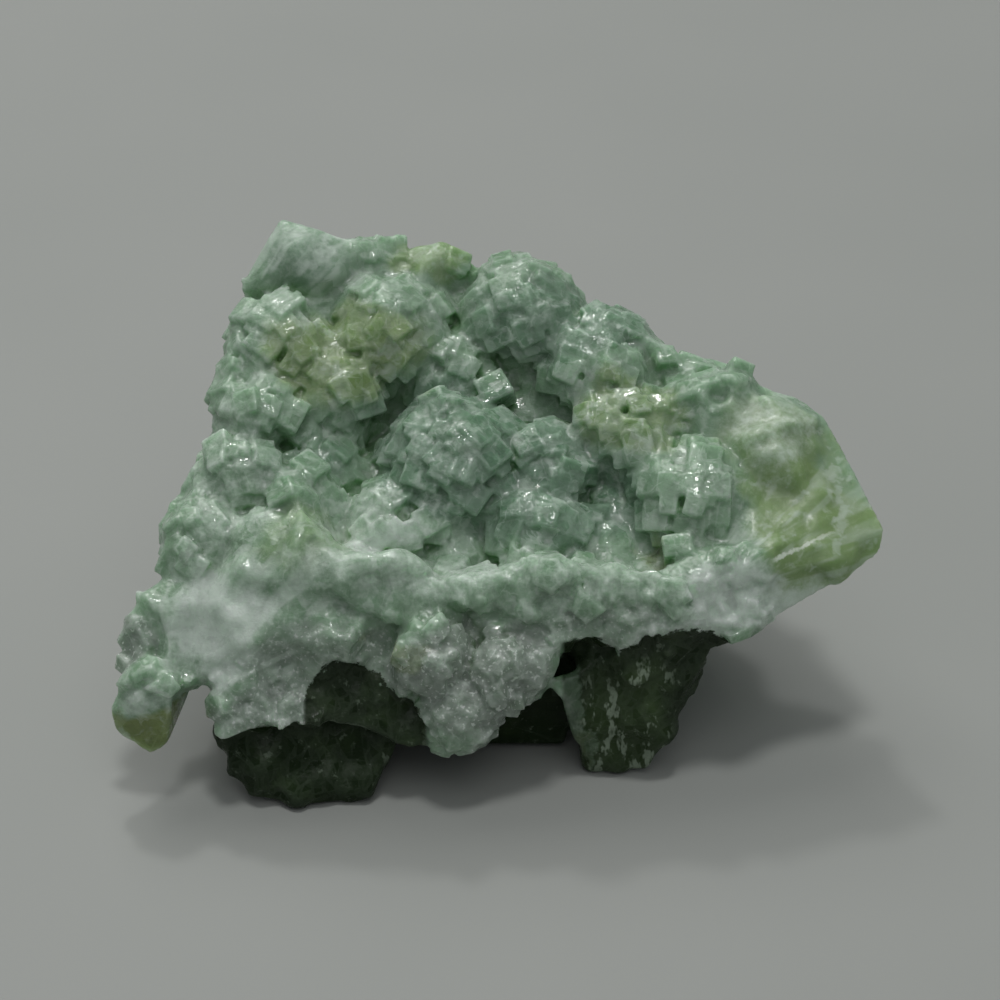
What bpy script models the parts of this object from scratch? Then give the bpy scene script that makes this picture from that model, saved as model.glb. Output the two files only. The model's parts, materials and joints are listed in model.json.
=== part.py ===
"""Prehnite cluster: one intergrown lump of mint-green prehnite, 60 mm wide, resting on its broken underside.

A standalone Blender script, in metres with +Z up. X runs across the width and +Y away from the crystal hollow's
low front rim. The lump is built from broken blocks and round crystal sprays, which are fused, roughened and cut
down to flat fracture faces. Then blocky crystals are fused over the sprays that line the hollow.
"""

import math
import random

import bmesh
import bpy
from mathutils import Matrix, Vector, noise

MM = 0.001
SEED = 7

# Sizes of the fused lump, in millimetres
FUSE_VOXEL = 0.8
GROWTH = 0.15
SWELL_SIZE = 7.0
SWELL_HEIGHT = 0.6
CHIP_SIZE = 4.0
CHIP_HEIGHT = 0.9
LUMP_TRIANGLES = 2500

# The hollow that the crystals line, a flattened ball sunk in the sloping top, and the dark pits in it:
# each one's centre and half sizes in millimetres, and its tilt in degrees round X
HOLLOW = ((-3.0, -0.5, 25.0), (14.5, 12.5, 6.5), 24)
PITS = {
    "slit_under_the_ledge": ((8.2, -4.6, 18.6), (3.0, 1.0, 2.6), -20),
    "front_pit": ((11.2, -9.0, 16.6), (1.5, 1.3, 2.8), -25),
    "back_slit": ((12.8, 2.6, 23.8), (1.6, 0.8, 1.8), 0),
}

# Crystals on a spray: how far they stand out of it, how much they taper, and how far apart they grow
CRYSTAL_OUT = 0.55
CRYSTAL_IN = 2.0
CRYSTAL_TAPER = 0.9
CRYSTAL_PITCH = 0.98
CRYSTAL_TILT = 0.16
SPRAY_CORE = 0.9

# The clean cut under the feet, which lets the lump stand flat
FLOOR_Z = 0.0
CUT_DEPTH = 5.0
CUT_REACH = 80.0

# Corners of the broken blocks, in millimetres
BLOCKS = {
    "left_shoulder": [
        (-20.5, 10, 28), (-21.4, 8, 27), (-22.3, 3.5, 24), (-22.6, -0.5, 20.5), (-23.3, -5, 18), (-25.5, -8.5, 15.5),
        (-27.1, -11.5, 13.5), (-27.6, -14, 9.5), (-22, -17.1, 8), (-13, -16.5, 9), (-10, -14.5, 14), (-13, -11.5, 18),
        (-20, 12, 12), (-21.5, 0, 9), (-9, -3, 9), (-9, 10, 13), (-22, -12, 7),
    ],
    "horn": [
        (-17.3, 14, 32.5), (-14.4, 13, 32), (-11, 12.5, 30.8), (-19.1, 12.3, 29.6), (-20.5, 10.6, 27.7),
        (-16, 17, 28), (-19, 15, 20), (-10, 17, 22), (-9, 9, 24), (-16, 10.5, 31),
    ],
    "back_left": [
        (-11, 13, 30.5), (-4.5, 13.2, 30.5), (-1, 12, 29.1), (-18, 17, 21), (-9, 21, 19), (0, 20, 19),
        (-17, 16, 9), (-7, 19, 8), (2, 17, 9), (-12, 4, 14), (0, 4, 14), (-6, 7, 27),
    ],
    "back_right": [
        (-1, 11.5, 29), (3.5, 12, 28.8), (5.5, 10.5, 27.8), (8, 8.7, 27.3), (11.8, 6.6, 26.2), (15.5, 5.2, 25.2),
        (19, 4, 23.8), (-2, 19, 18), (9, 16, 17), (17, 9.5, 16), (0, 15, 8), (11, 11, 8), (16, 2, 14), (3, 0, 14),
    ],
    "right_wing": [
        (19, 4, 23.6), (23.2, 3.1, 22.5), (25.2, 1.8, 21.6), (26, -1.2, 20.2), (27.8, -3.7, 18.8), (30, -6.9, 17.1),
        (29.3, -7.7, 15.5), (26.2, -9.1, 14.4), (22.6, -10.2, 13), (18.4, -12.5, 11.4), (15.9, -13.9, 10.4),
        (21, 5, 16), (14, 4, 12), (12, -6, 11), (12, -13.5, 15.5), (19, -10.5, 16.5),
    ],
    "belly": [
        (-19, -10, 7), (-20, 5, 10), (-12, 13, 4), (8, 12, 5), (17, 4, 10), (20, -6, 12), (13, -10, 6), (6, -9, 3),
        (-8, -10, 3), (-6, 0, 1.4), (5, 0, 1.4), (-15, 0, 17), (15, -6, 16.5), (0, 8, 19), (0, -10, 14.5), (8, -10.5, 14.5),
    ],
    "front_rim_left": [
        (-14, -11.5, 17.8), (-8.5, -11.3, 18.3), (-5, -12.5, 16), (-6, -14, 13), (-13, -16, 10), (-12, -6, 11), (-4, -6, 10),
    ],
    "front_rim_right": [
        (-7, -12.3, 16.2), (-1.5, -12.3, 17), (4, -11.8, 17.5), (14.5, -12.8, 15.6), (16, -13.8, 11), (4, -15, 11.5),
        (-5, -14.5, 12), (-6, -5, 10), (13, -5, 10),
    ],
    "hanging_spray": [
        (-7.6, -14.8, 14), (2.6, -14.6, 14), (4, -15.2, 10.5), (3, -16.4, 8.6), (1, -17.6, 6.2), (-1, -18.4, 4.6),
        (-4.2, -18.2, 4.8), (-7.2, -17.4, 7), (-6, -10, 9), (2, -10, 10), (-7, -10, 6), (1, -12, 6),
    ],
    "glassy_break": [
        (-13.5, -14.8, 10), (-6, -15.5, 9.5), (-13.3, -16.6, 6.6), (-5.2, -18.3, 5), (-4, -15, 4.8), (-12, -10, 8),
        (-5, -9, 9), (-12, -12, 3),
    ],
    "lip": [
        (-22, -18.7, 6.2), (-22.6, -17.8, 8.6), (-13.3, -17.2, 6.6), (-13, -16, 9.5), (-20, -13, 8.5), (-14, -12, 9),
    ],
    "left_foot": [
        (-21.6, -17.9, 5.7), (-21.4, -18, 2.3), (-19.2, -18.9, 0.2), (-15.1, -19.2, -1.1), (-11, -19, -0.7),
        (-8.4, -18.1, 1.2), (-6.6, -17.2, 4.6), (-9, -16, 7), (-19, -15, 8), (-19, -9.5, 1), (-14, -8, -0.9), (-8.5, -10, 1),
        (-18, -8, 9), (-8, -8, 9),
    ],
    "right_foot": [
        (15.4, -14, 10), (14.2, -14.8, 6.5), (13.4, -15.3, 3), (11.6, -15.7, 0.7), (8.3, -15.7, -1.1),
        (6.2, -15, 0), (5.8, -13.5, 3), (5.3, -14, 9), (10.5, -14, 12), (7, -8, -0.9), (11.5, -8, 0), (13.5, -8, 9),
        (6, -7, 9),
    ],
    "foot_fin": [
        (3.6, -15, 9.7), (5.2, -15.5, 8.7), (4.5, -14.8, 2.8), (6.1, -15.9, 0.7), (7, -14.5, 1), (6.5, -13, 9),
    ],
    "rear_foot": [
        (-12, 8, 0.6), (-9, 6, -0.9), (3, 7, -0.9), (7, 9, 0.8), (-10, 15, -0.9), (3, 15, -0.9), (-14, 14, 10),
        (9, 13, 10), (-13, 3, 12), (9, 1, 12),
    ],
}

# Small crystals of their own shape at the left end, grown on the shoulder
END_BLOCKS = {
    "olive_tip": [
        (-29.3, -16.6, 5.4), (-29.1, -15.4, 7.9), (-27, -16.9, 8.9), (-24.6, -17.2, 6.9), (-25, -16.9, 4.4),
        (-26.3, -17.2, 3.6), (-26, -12.5, 5.6), (-24, -14, 9), (-23.5, -12, 6),
    ],
    "grey_crystal": [
        (-29.4, -12.6, 10.8), (-27.6, -11.4, 13.2), (-26.4, -13.3, 11.6), (-27.7, -14, 9.7), (-25.6, -9.6, 9.8),
        (-25, -12, 12),
    ],
    "grey_chip": [
        (-29.3, -14.8, 9.3), (-28, -14, 10.8), (-27.2, -15.6, 8.8), (-26, -12.5, 9.5), (-26, -13, 7.6),
    ],
}

# Crystal sprays: the point furthest out on the round surface, its radius and its crystals' width, all in
# millimetres. The first table's sprays face up out of the hollow, the second's face out of the front.
SPRAYS_UP = [
    ((-3.4, -2.0, 22.2), 6.0, 2.5),
    ((-3.5, 6.2, 24.4), 4.2, 2.7),
    ((1.6, 8.8, 28.8), 4.4, 2.7),
    ((7.7, 5.4, 26.4), 4.6, 2.6),
    ((10.3, 0.2, 23.0), 4.2, 2.6),
    ((15.0, -5.0, 21.0), 5.2, 2.6),
    ((-8.5, 7.6, 28.4), 4.8, 2.7),
    ((-13.1, 4.2, 25.2), 4.0, 2.9),
    ((-17.0, 6.4, 27.4), 4.4, 2.9),
    ((-18.6, 1.3, 23.8), 3.8, 2.8),
    ((-19.6, -3.0, 21.0), 3.4, 2.8),
    ((-15.6, -4.0, 19.6), 3.4, 2.8),
    ((-14.2, -0.6, 20.0), 3.6, 2.8),
    ((-8.6, -5.6, 18.0), 3.4, 2.4),
    ((2.4, -6.2, 18.2), 3.8, 2.5),
    ((3.6, -1.6, 20.8), 3.6, 2.6),
    ((20.4, -1.8, 22.6), 5.2, 3.8),
    ((-22.2, -7.7, 17.6), 3.8, 3.0),
    ((16.8, 1.2, 24.2), 4.4, 3.4),
]
SPRAYS_OUT = [
    ((-4.6, -16.9, 11.6), 3.4, 2.4),
    ((0.6, -16.9, 10.2), 3.4, 2.4),
    ((-2.6, -18.6, 7.2), 3.2, 2.4),
]
FACING_UP = Vector((0.0, -0.45, 0.9)).normalized()
FACING_OUT = Vector((0.15, -0.95, 0.2)).normalized()
SPRAY_HALF_ANGLE = math.radians(72)


def clear_scene():
    for obj in list(bpy.data.objects):
        bpy.data.objects.remove(obj)


def new_object(name, bm):
    """Turns a finished bmesh into a linked object and frees the bmesh."""
    mesh = bpy.data.meshes.new(name)
    bm.to_mesh(mesh)
    bm.free()
    obj = bpy.data.objects.new(name, mesh)
    bpy.context.scene.collection.objects.link(obj)
    return obj


def baked(obj):
    """Replaces an object's mesh by what its modifiers make of it."""
    graph = bpy.context.evaluated_depsgraph_get()
    made = bpy.data.meshes.new_from_object(obj.evaluated_get(graph))
    obj.modifiers.clear()
    obj.data = made
    return obj


def add_hull(bm, corners):
    """Adds the convex block with these corners, given in millimetres."""
    verts = [bm.verts.new(Vector(corner) * MM) for corner in corners]
    made = bmesh.ops.convex_hull(bm, input=verts)
    inside = [v for v in verts if not v.link_faces]
    bmesh.ops.delete(bm, geom=inside, context="VERTS")
    return made


def sprays():
    """Every spray as its centre, radius, crystal width and facing direction."""
    for facing, table in ((FACING_UP, SPRAYS_UP), (FACING_OUT, SPRAYS_OUT)):
        for far_point, radius, width in table:
            yield Vector(far_point) - facing * radius, radius, width, facing


def rough_lump():
    """The blocks and the sprays' round cores, fused by a voxel remesh."""
    bm = bmesh.new()
    for corners in BLOCKS.values():
        add_hull(bm, corners)
    obj = new_object("prehnite_cluster", bm)
    fuse = obj.modifiers.new("fuse", "REMESH")
    fuse.mode = "VOXEL"
    fuse.voxel_size = FUSE_VOXEL * MM
    baked(obj)
    carve(obj, *HOLLOW, fineness=4)
    bm = bmesh.new()
    bm.from_mesh(obj.data)
    for centre, radius, _, _ in sprays():
        place = Matrix.Translation(centre * MM)
        bmesh.ops.create_icosphere(bm, subdivisions=3, radius=radius * SPRAY_CORE * MM, matrix=place)
    for corners in END_BLOCKS.values():
        add_hull(bm, corners)
    bm.to_mesh(obj.data)
    bm.free()
    fuse = obj.modifiers.new("fuse", "REMESH")
    fuse.mode = "VOXEL"
    fuse.voxel_size = FUSE_VOXEL * MM
    return baked(obj)


def carve(obj, centre, half, tilt, fineness):
    """Sinks a rounded hollow into the lump."""
    bm = bmesh.new()
    bmesh.ops.create_icosphere(bm, subdivisions=fineness, radius=1.0)
    cutter = new_object("hollow_cutter", bm)
    cutter.hide_render = True
    cutter.display_type = "WIRE"
    turn = Matrix.Rotation(math.radians(tilt), 4, "X")
    size = Matrix.Diagonal((*(Vector(half) * MM), 1.0))
    cutter.data.transform(Matrix.Translation(Vector(centre) * MM) @ turn @ size)
    cut = obj.modifiers.new("hollow", "BOOLEAN")
    cut.operation = "DIFFERENCE"
    cut.object = cutter
    baked(obj)
    bpy.data.objects.remove(cutter)


def roughen(obj):
    """Swells and chips the surface, then leaves it as flat fracture faces."""
    bm = bmesh.new()
    bm.from_mesh(obj.data)
    bm.normal_update()
    moves = []
    for vert in bm.verts:
        at = vert.co / MM
        swell = noise.fractal(at / SWELL_SIZE, 0.9, 2.0, 3) * SWELL_HEIGHT
        near, second = noise.voronoi(at / CHIP_SIZE)[0][:2]
        chip = (min(second - near, 0.6) - 0.3) * CHIP_HEIGHT
        moves.append(vert.normal * (GROWTH + swell + chip) * MM)
    for vert, move in zip(bm.verts, moves):
        vert.co += move
    bmesh.ops.triangulate(bm, faces=bm.faces)
    bm.to_mesh(obj.data)
    bm.free()
    thin = obj.modifiers.new("flat_faces", "DECIMATE")
    thin.ratio = LUMP_TRIANGLES / len(obj.data.polygons)
    return baked(obj)


def spray_directions(radius, width, facing):
    """Evenly spread directions over the part of a spray that shows, one for each crystal."""
    whole_ball = max(12, round(4 * math.pi * (radius / (width * CRYSTAL_PITCH)) ** 2))
    golden = math.pi * (3 - math.sqrt(5))
    turn = facing.to_track_quat("Z", "Y")
    for i in range(whole_ball):
        height = 1 - 2 * (i + 0.5) / whole_ball
        if height < math.cos(SPRAY_HALF_ANGLE):
            break
        ring = math.sqrt(1 - height * height)
        yield turn @ Vector((ring * math.cos(golden * i), ring * math.sin(golden * i), height))


def add_crystal(bm, centre, out, radius, width, dice):
    """Adds one blocky crystal that grows outward from a spray's centre, ended by a flat square face."""
    turn = out.to_track_quat("Z", "Y").to_matrix().to_4x4()
    lean = [dice.uniform(-CRYSTAL_TILT, CRYSTAL_TILT) for _ in range(2)]
    tilt = Matrix.Rotation(lean[0], 4, "X") @ Matrix.Rotation(lean[1], 4, "Y")
    roll = Matrix.Rotation(dice.uniform(0, math.tau), 4, "Z")
    top = radius + dice.uniform(-0.5, 1.0) * CRYSTAL_OUT
    half = Vector((dice.uniform(0.46, 0.6), dice.uniform(0.4, 0.54))) * width
    frame = Matrix.Translation(centre * MM) @ turn @ tilt @ roll
    rings = []
    for z, share in ((radius - CRYSTAL_IN, CRYSTAL_TAPER), (top, 1.0)):
        corners = [(-1, -1), (1, -1), (1, 1), (-1, 1)]
        ring = [frame @ (Vector((x * half.x * share, y * half.y * share, z)) * MM) for x, y in corners]
        rings.append([bm.verts.new(co) for co in ring])
    low, high = rings
    bm.faces.new(reversed(low))
    bm.faces.new(high)
    for i in range(4):
        j = (i + 1) % 4
        bm.faces.new((low[i], low[j], high[j], high[i]))


def crystal_objects():
    """One closed mesh for each crystal, in a collection that the lump is joined with."""
    dice = random.Random(SEED)
    group = bpy.data.collections.new("crystals")
    for number, (centre, radius, width, facing) in enumerate(sprays()):
        for i, out in enumerate(spray_directions(radius, width, facing)):
            bm = bmesh.new()
            add_crystal(bm, centre, out, radius, width, dice)
            mesh = bpy.data.meshes.new(f"crystal_{number}_{i}")
            bm.to_mesh(mesh)
            bm.free()
            group.objects.link(bpy.data.objects.new(mesh.name, mesh))
    return group


def fuse_crystals(obj):
    group = crystal_objects()
    bpy.context.scene.collection.children.link(group)
    join = obj.modifiers.new("crystals", "BOOLEAN")
    join.operation = "UNION"
    join.operand_type = "COLLECTION"
    join.collection = group
    baked(obj)
    for crystal in list(group.objects):
        bpy.data.objects.remove(crystal)
    bpy.data.collections.remove(group)
    return obj


def cut_feet_flat(obj):
    """Cuts the underside level, so that each foot has a small flat face to stand on."""
    bm = bmesh.new()
    size = Matrix.Diagonal((CUT_REACH * MM, CUT_REACH * MM, CUT_DEPTH * MM, 1.0))
    place = Matrix.Translation((0, 0, (FLOOR_Z - CUT_DEPTH / 2) * MM))
    bmesh.ops.create_cube(bm, size=1.0, matrix=place @ size)
    cutter = new_object("floor_cutter", bm)
    cutter.hide_render = True
    cutter.display_type = "WIRE"
    cut = obj.modifiers.new("feet", "BOOLEAN")
    cut.operation = "DIFFERENCE"
    cut.object = cutter
    baked(obj)
    bpy.data.objects.remove(cutter)
    return obj


def island_of(face):
    """All the faces joined to this one."""
    found = {face}
    waiting = [face]
    while waiting:
        for edge in waiting.pop().edges:
            for other in edge.link_faces:
                if other not in found:
                    found.add(other)
                    waiting.append(other)
    return found


def keep_outer_skin(obj):
    """Drops the small closed pockets that the fused crystals leave inside the lump."""
    bm = bmesh.new()
    bm.from_mesh(obj.data)
    left = set(bm.faces)
    islands = []
    while left:
        island = island_of(next(iter(left)))
        left -= island
        islands.append(island)
    largest = max(islands, key=lambda island: sum(face.calc_area() for face in island))
    bmesh.ops.delete(bm, geom=[f for f in bm.faces if f not in largest], context="FACES")
    bm.to_mesh(obj.data)
    bm.free()
    return obj


def centre_on_floor(obj):
    """Puts the origin at the middle of the lump's box, on the surface it stands on."""
    corners = [vert.co for vert in obj.data.vertices]
    low = Vector(map(min, *corners))
    high = Vector(map(max, *corners))
    middle = (low + high) / 2
    obj.data.transform(Matrix.Translation((-middle.x, -middle.y, -low.z)))
    print("moved by mm", [round(-c / MM, 3) for c in (middle.x, middle.y, low.z)])
    return obj


def prehnite_material():
    """Pale mint-green, cloudy and a little glossy."""
    material = bpy.data.materials.new("prehnite")
    material.use_nodes = True
    shader = material.node_tree.nodes["Principled BSDF"]
    shader.inputs["Base Color"].default_value = (0.27, 0.42, 0.28, 1.0)
    shader.inputs["Roughness"].default_value = 0.32
    shader.inputs["Metallic"].default_value = 0.0
    return material


def main():
    clear_scene()
    lump = rough_lump()
    roughen(lump)
    for pit in PITS.values():
        carve(lump, *pit, fineness=2)
    fuse_crystals(lump)
    cut_feet_flat(lump)
    keep_outer_skin(lump)
    centre_on_floor(lump)
    lump.data.materials.clear()
    lump.data.materials.append(prehnite_material())


main()
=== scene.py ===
"""Prehnite cluster, dressed: one intergrown piece of cloudy, mint-green prehnite on a plain pale floor.

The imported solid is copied, remeshed finely and broken up like fractured mineral. Blocky crystals then grow on the
round sprays that line the hollow and hang at the front, small broken grains grow on the rough fracture faces, and
all of it is fused into one skin that light scatters through.
"""

import json
import logging
import math
import random
from collections.abc import Iterator
from dataclasses import dataclass, field
from enum import Enum

import bmesh
import bpy
import numpy as np
from mathutils import Matrix, Vector, bvhtree, kdtree, noise

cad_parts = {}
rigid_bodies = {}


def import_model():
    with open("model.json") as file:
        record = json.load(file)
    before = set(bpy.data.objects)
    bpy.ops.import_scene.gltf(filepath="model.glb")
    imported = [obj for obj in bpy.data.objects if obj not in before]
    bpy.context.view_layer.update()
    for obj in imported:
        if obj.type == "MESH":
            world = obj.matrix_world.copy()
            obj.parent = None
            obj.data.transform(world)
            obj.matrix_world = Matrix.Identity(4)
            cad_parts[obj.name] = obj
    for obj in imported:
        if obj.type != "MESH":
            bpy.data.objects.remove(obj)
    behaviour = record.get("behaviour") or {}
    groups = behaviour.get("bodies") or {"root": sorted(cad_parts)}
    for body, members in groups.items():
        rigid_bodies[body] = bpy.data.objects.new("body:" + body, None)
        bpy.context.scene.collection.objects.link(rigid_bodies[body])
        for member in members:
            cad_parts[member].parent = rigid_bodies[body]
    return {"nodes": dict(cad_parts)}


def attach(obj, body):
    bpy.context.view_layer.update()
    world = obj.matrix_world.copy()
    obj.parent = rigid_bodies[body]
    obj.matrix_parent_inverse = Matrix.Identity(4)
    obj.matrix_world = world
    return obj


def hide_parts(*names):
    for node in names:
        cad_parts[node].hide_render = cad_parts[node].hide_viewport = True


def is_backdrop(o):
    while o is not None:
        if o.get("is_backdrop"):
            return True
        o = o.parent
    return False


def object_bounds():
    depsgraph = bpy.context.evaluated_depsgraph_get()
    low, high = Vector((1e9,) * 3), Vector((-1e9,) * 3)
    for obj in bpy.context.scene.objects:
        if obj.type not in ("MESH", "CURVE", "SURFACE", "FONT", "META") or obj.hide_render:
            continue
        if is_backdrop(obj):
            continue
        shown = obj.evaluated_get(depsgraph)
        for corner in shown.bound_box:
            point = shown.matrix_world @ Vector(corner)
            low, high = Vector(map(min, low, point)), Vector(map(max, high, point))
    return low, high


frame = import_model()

MM = 0.001
NODE = "prehnite_cluster"
BODY = "root"
LOG = logging.getLogger("prehnite")

# How far the modelled solid was moved to stand centred on its own box, in millimetres
CENTRING = Vector((0.286, -0.623, 0.0))


class Habit(Enum):
    """The ways in which the mineral's small pieces are built."""

    CRYSTALS = "Crystals"
    FLAKES = "Flakes"
    GRAINS = "Grains"


@dataclass(frozen=True)
class Slab:
    """One upright block of a crystal, in units of the crystal's width."""

    x: float
    y: float
    half_x: float
    half_y: float
    top: float
    turn: float
    lean: float


@dataclass(frozen=True)
class Spray:
    """A round spray of crystals: the point furthest out, its radius and its crystals' width, in millimetres.

    Its order says how well the crystals line up, from 0 for grains at random to 1 for terraces.
    """

    tip: tuple[float, float, float]
    radius: float
    crystal: float
    facing: tuple[float, float, float] = (0.0, -0.45, 0.9)
    reach: float = 74.0
    order: float = 1.0

    @property
    def axis(self) -> Vector:
        """The direction in which the spray faces."""
        return Vector(self.facing).normalized()

    @property
    def centre(self) -> Vector:
        """The middle of the spray's ball, in the part's frame, in millimetres."""
        return Vector(self.tip) + CENTRING - self.axis * self.radius

    def directions(self, dice: random.Random) -> Iterator[Vector]:
        """Spread directions over the part of the ball that shows.

        Args:
            dice: Where the small shifts come from.

        Returns:
            One unit vector for each crystal.
        """
        whole_ball = max(12, round(4 * math.pi * (self.radius / (self.crystal * 0.8)) ** 2))
        golden = math.pi * (3 - math.sqrt(5))
        turn = self.axis.to_track_quat("Z", "Y")
        start = dice.uniform(0, 6.28)
        for i in range(whole_ball):
            height = 1 - 2 * (i + 0.5) / whole_ball
            if height < math.cos(math.radians(self.reach)):
                return
            ring = math.sqrt(1 - height * height)
            angle = golden * i + start
            shift = Vector((dice.gauss(0, 1), dice.gauss(0, 1), 0)) * 0.2 * self.crystal / self.radius
            yield turn @ (Vector((ring * math.cos(angle), ring * math.sin(angle), height)) + shift).normalized()


OUTWARD = (0.15, -0.95, 0.2)
SPRAYS: tuple[Spray, ...] = (
    Spray((-3.4, -2.0, 22.2), 6.0, 1.8),
    Spray((-3.5, 6.2, 24.4), 4.2, 1.6),
    Spray((1.6, 8.8, 28.8), 4.4, 1.8),
    Spray((7.7, 5.4, 26.4), 4.6, 1.6),
    Spray((10.3, 0.2, 23.0), 4.2, 1.5),
    Spray((15.0, -5.0, 21.0), 5.2, 1.7),
    Spray((-8.5, 7.6, 28.4), 4.8, 1.5),
    Spray((-13.1, 4.2, 25.2), 4.0, 1.5),
    Spray((-17.0, 6.4, 27.4), 4.4, 1.7),
    Spray((-18.6, 1.3, 23.8), 3.8, 1.7),
    Spray((-19.6, -3.0, 21.0), 3.4, 1.6),
    Spray((-15.6, -4.0, 19.6), 3.4, 1.6),
    Spray((-14.2, -0.6, 20.0), 3.6, 1.5),
    Spray((-8.6, -5.6, 18.0), 3.4, 1.5),
    Spray((2.4, -6.2, 18.2), 3.8, 1.5),
    Spray((3.6, -1.6, 20.8), 3.6, 1.5),
    Spray((-22.2, -7.7, 17.6), 3.8, 1.7, reach=60.0),
    Spray((-4.6, -16.9, 11.6), 3.4, 0.95, OUTWARD, 62.0, 0.0),
    Spray((0.6, -16.9, 10.2), 3.4, 0.95, OUTWARD, 62.0, 0.0),
    Spray((-2.6, -18.6, 7.2), 3.2, 0.9, OUTWARD, 76.0, 0.3),
)


@dataclass(frozen=True)
class Crag:
    """A flat-faced block of the stone: its corners in the solid's own frame before centring, in millimetres."""

    corners: tuple[tuple[float, float, float], ...]

    def add_to(self, bm: bmesh.types.BMesh) -> None:
        """Adds the block that spans the corners to a mesh."""
        made = bmesh.ops.convex_hull(bm, input=[bm.verts.new((Vector(spot) + CENTRING) * MM) for spot in self.corners])
        loose = {item for item in made["geom_interior"] if isinstance(item, bmesh.types.BMVert)}
        bmesh.ops.delete(bm, geom=list(loose), context="VERTS")


CRAGS: tuple[Crag, ...] = (
    # The horn at the upper left
    Crag((
        (-17.3, 13.8, 32.4), (-14.4, 12.9, 32), (-11, 12.4, 30.8), (-19.1, 12.2, 29.7), (-20.5, 10.5, 27.8),
        (-16, 17, 28), (-19, 15, 20), (-10, 17, 22), (-9, 9, 24), (-16, 10.4, 31),
    )),
    # The blade at the right
    Crag((
        (19, 4, 23.6), (23.2, 3.1, 22.5), (25.2, 1.8, 21.6), (26, -1.2, 20.2), (27.8, -3.7, 18.8), (29.2, -6.9, 17.1),
        (28.8, -7.8, 15.5), (26.2, -9.2, 14.4), (22.6, -10.4, 13), (18.4, -12.7, 11.4), (21, 5, 16), (14, 4, 12),
        (12, -6, 11), (13, -12.5, 14), (19, -10.6, 16.6),
    )),
    # The olive tip and the grey crystal at the left end
    Crag((
        (-29.0, -16.7, 5.4), (-28.9, -15.4, 7.9), (-27, -17.1, 8.9), (-24.6, -17.3, 6.9), (-25, -17.0, 4.4),
        (-26.3, -17.3, 3.6), (-26, -12.5, 5.6), (-24, -14, 9), (-23.5, -12, 6),
    )),
    Crag((
        (-28.6, -15.4, 9.6), (-28.8, -15.8, 7.8), (-27.3, -17.2, 7.6), (-24.5, -17.4, 7.2), (-24, -16.4, 10.5),
        (-26.5, -14.8, 11), (-25, -13, 8),
    )),
    Crag((
        (-29.1, -12.6, 10.8), (-27.6, -11.4, 13.3), (-26.3, -13.5, 11.6), (-27.7, -14.2, 9.6), (-25.6, -9.6, 9.8),
        (-25, -12, 12),
    )),
    # The dark wall that stands back under the arch: partly dark stone, partly a dark mass set where the arch lies in
    # shadow, so its near-black colour paints that shadow
    Crag((
        (-4.5, -13.0, 6), (-3.5, -12.6, 0.6), (5, -12.4, 0.5), (6, -11.6, 6.5), (-4, -4, 5), (6, -4, 5),
        (-3, -5, 1.2), (5, -5, 1.0),
    )),
)


@dataclass(frozen=True)
class LoneCrystal:
    """A larger crystal that stands by itself: where its root is, how wide it is, and which way it faces and turns."""

    root: tuple[float, float, float]
    width: float
    facing: tuple[float, float, float]
    turn: float = 0.0


LONE_CRYSTALS: tuple[LoneCrystal, ...] = (
    LoneCrystal((-0.2, 3.4, 22.9), 2.4, (0.0, -0.47, 0.88), 0.5),
    LoneCrystal((17.3, 1.0, 23.3), 2.6, (0.1, -0.3, 0.95), 0.4),
    LoneCrystal((-21.6, -7.2, 18.0), 2.2, (-0.3, -0.45, 0.85), 0.6),
    LoneCrystal((-21.4, -2.2, 21.2), 2.0, (-0.5, -0.3, 0.8), 0.3),
    LoneCrystal((13.6, -9.6, 17.2), 2.0, (0.0, -0.5, 0.85), 0.2),
    LoneCrystal((-5.0, -6.6, 17.4), 2.0, (0.1, -0.6, 0.8), 0.7),
    LoneCrystal((-28.0, -14.6, 9.6), 1.4, (-0.6, -0.7, 0.2), 0.8),
)


@dataclass(frozen=True)
class Place:
    """A soft-edged egg-shaped region of the stone, in the part's frame, in millimetres."""

    centre: tuple[float, float, float]
    half: tuple[float, float, float]
    amount: float = 1.0

    def inside(self, points: np.ndarray) -> np.ndarray:
        """How deep each point lies in the region.

        Args:
            points: One point a row, in millimetres.

        Returns:
            From 0 outside to the region's amount inside.
        """
        away = np.linalg.norm((points - np.array(self.centre)) / np.array(self.half), axis=1)
        share = np.clip((1.25 - away) / 0.5, 0.0, 1.0)
        return self.amount * share * share * (3 - 2 * share)


@dataclass(frozen=True)
class ChipScale:
    """One size of broken face: how far apart the faces lie, how much they tilt and where they show."""

    spacing: float
    tilt: float
    seed: int
    stepped: bool = False
    everywhere: float = 1.0
    where_rough: float = 0.0
    where_smooth: float = 0.0


@dataclass(frozen=True)
class Groove:
    """A crack along a straight line between two points, in millimetres."""

    start: tuple[float, float, float]
    end: tuple[float, float, float]
    width: float
    depth: float

    def sunk(self, points: np.ndarray) -> np.ndarray:
        """How deep the crack cuts at each point, in millimetres."""
        start, end = np.array(self.start), np.array(self.end)
        along = end - start
        share = np.clip(((points - start) @ along) / (along @ along), 0, 1)
        away = np.linalg.norm(points - start - share[:, None] * along, axis=1)
        return self.depth * np.exp(-((away / self.width) ** 2))


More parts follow.
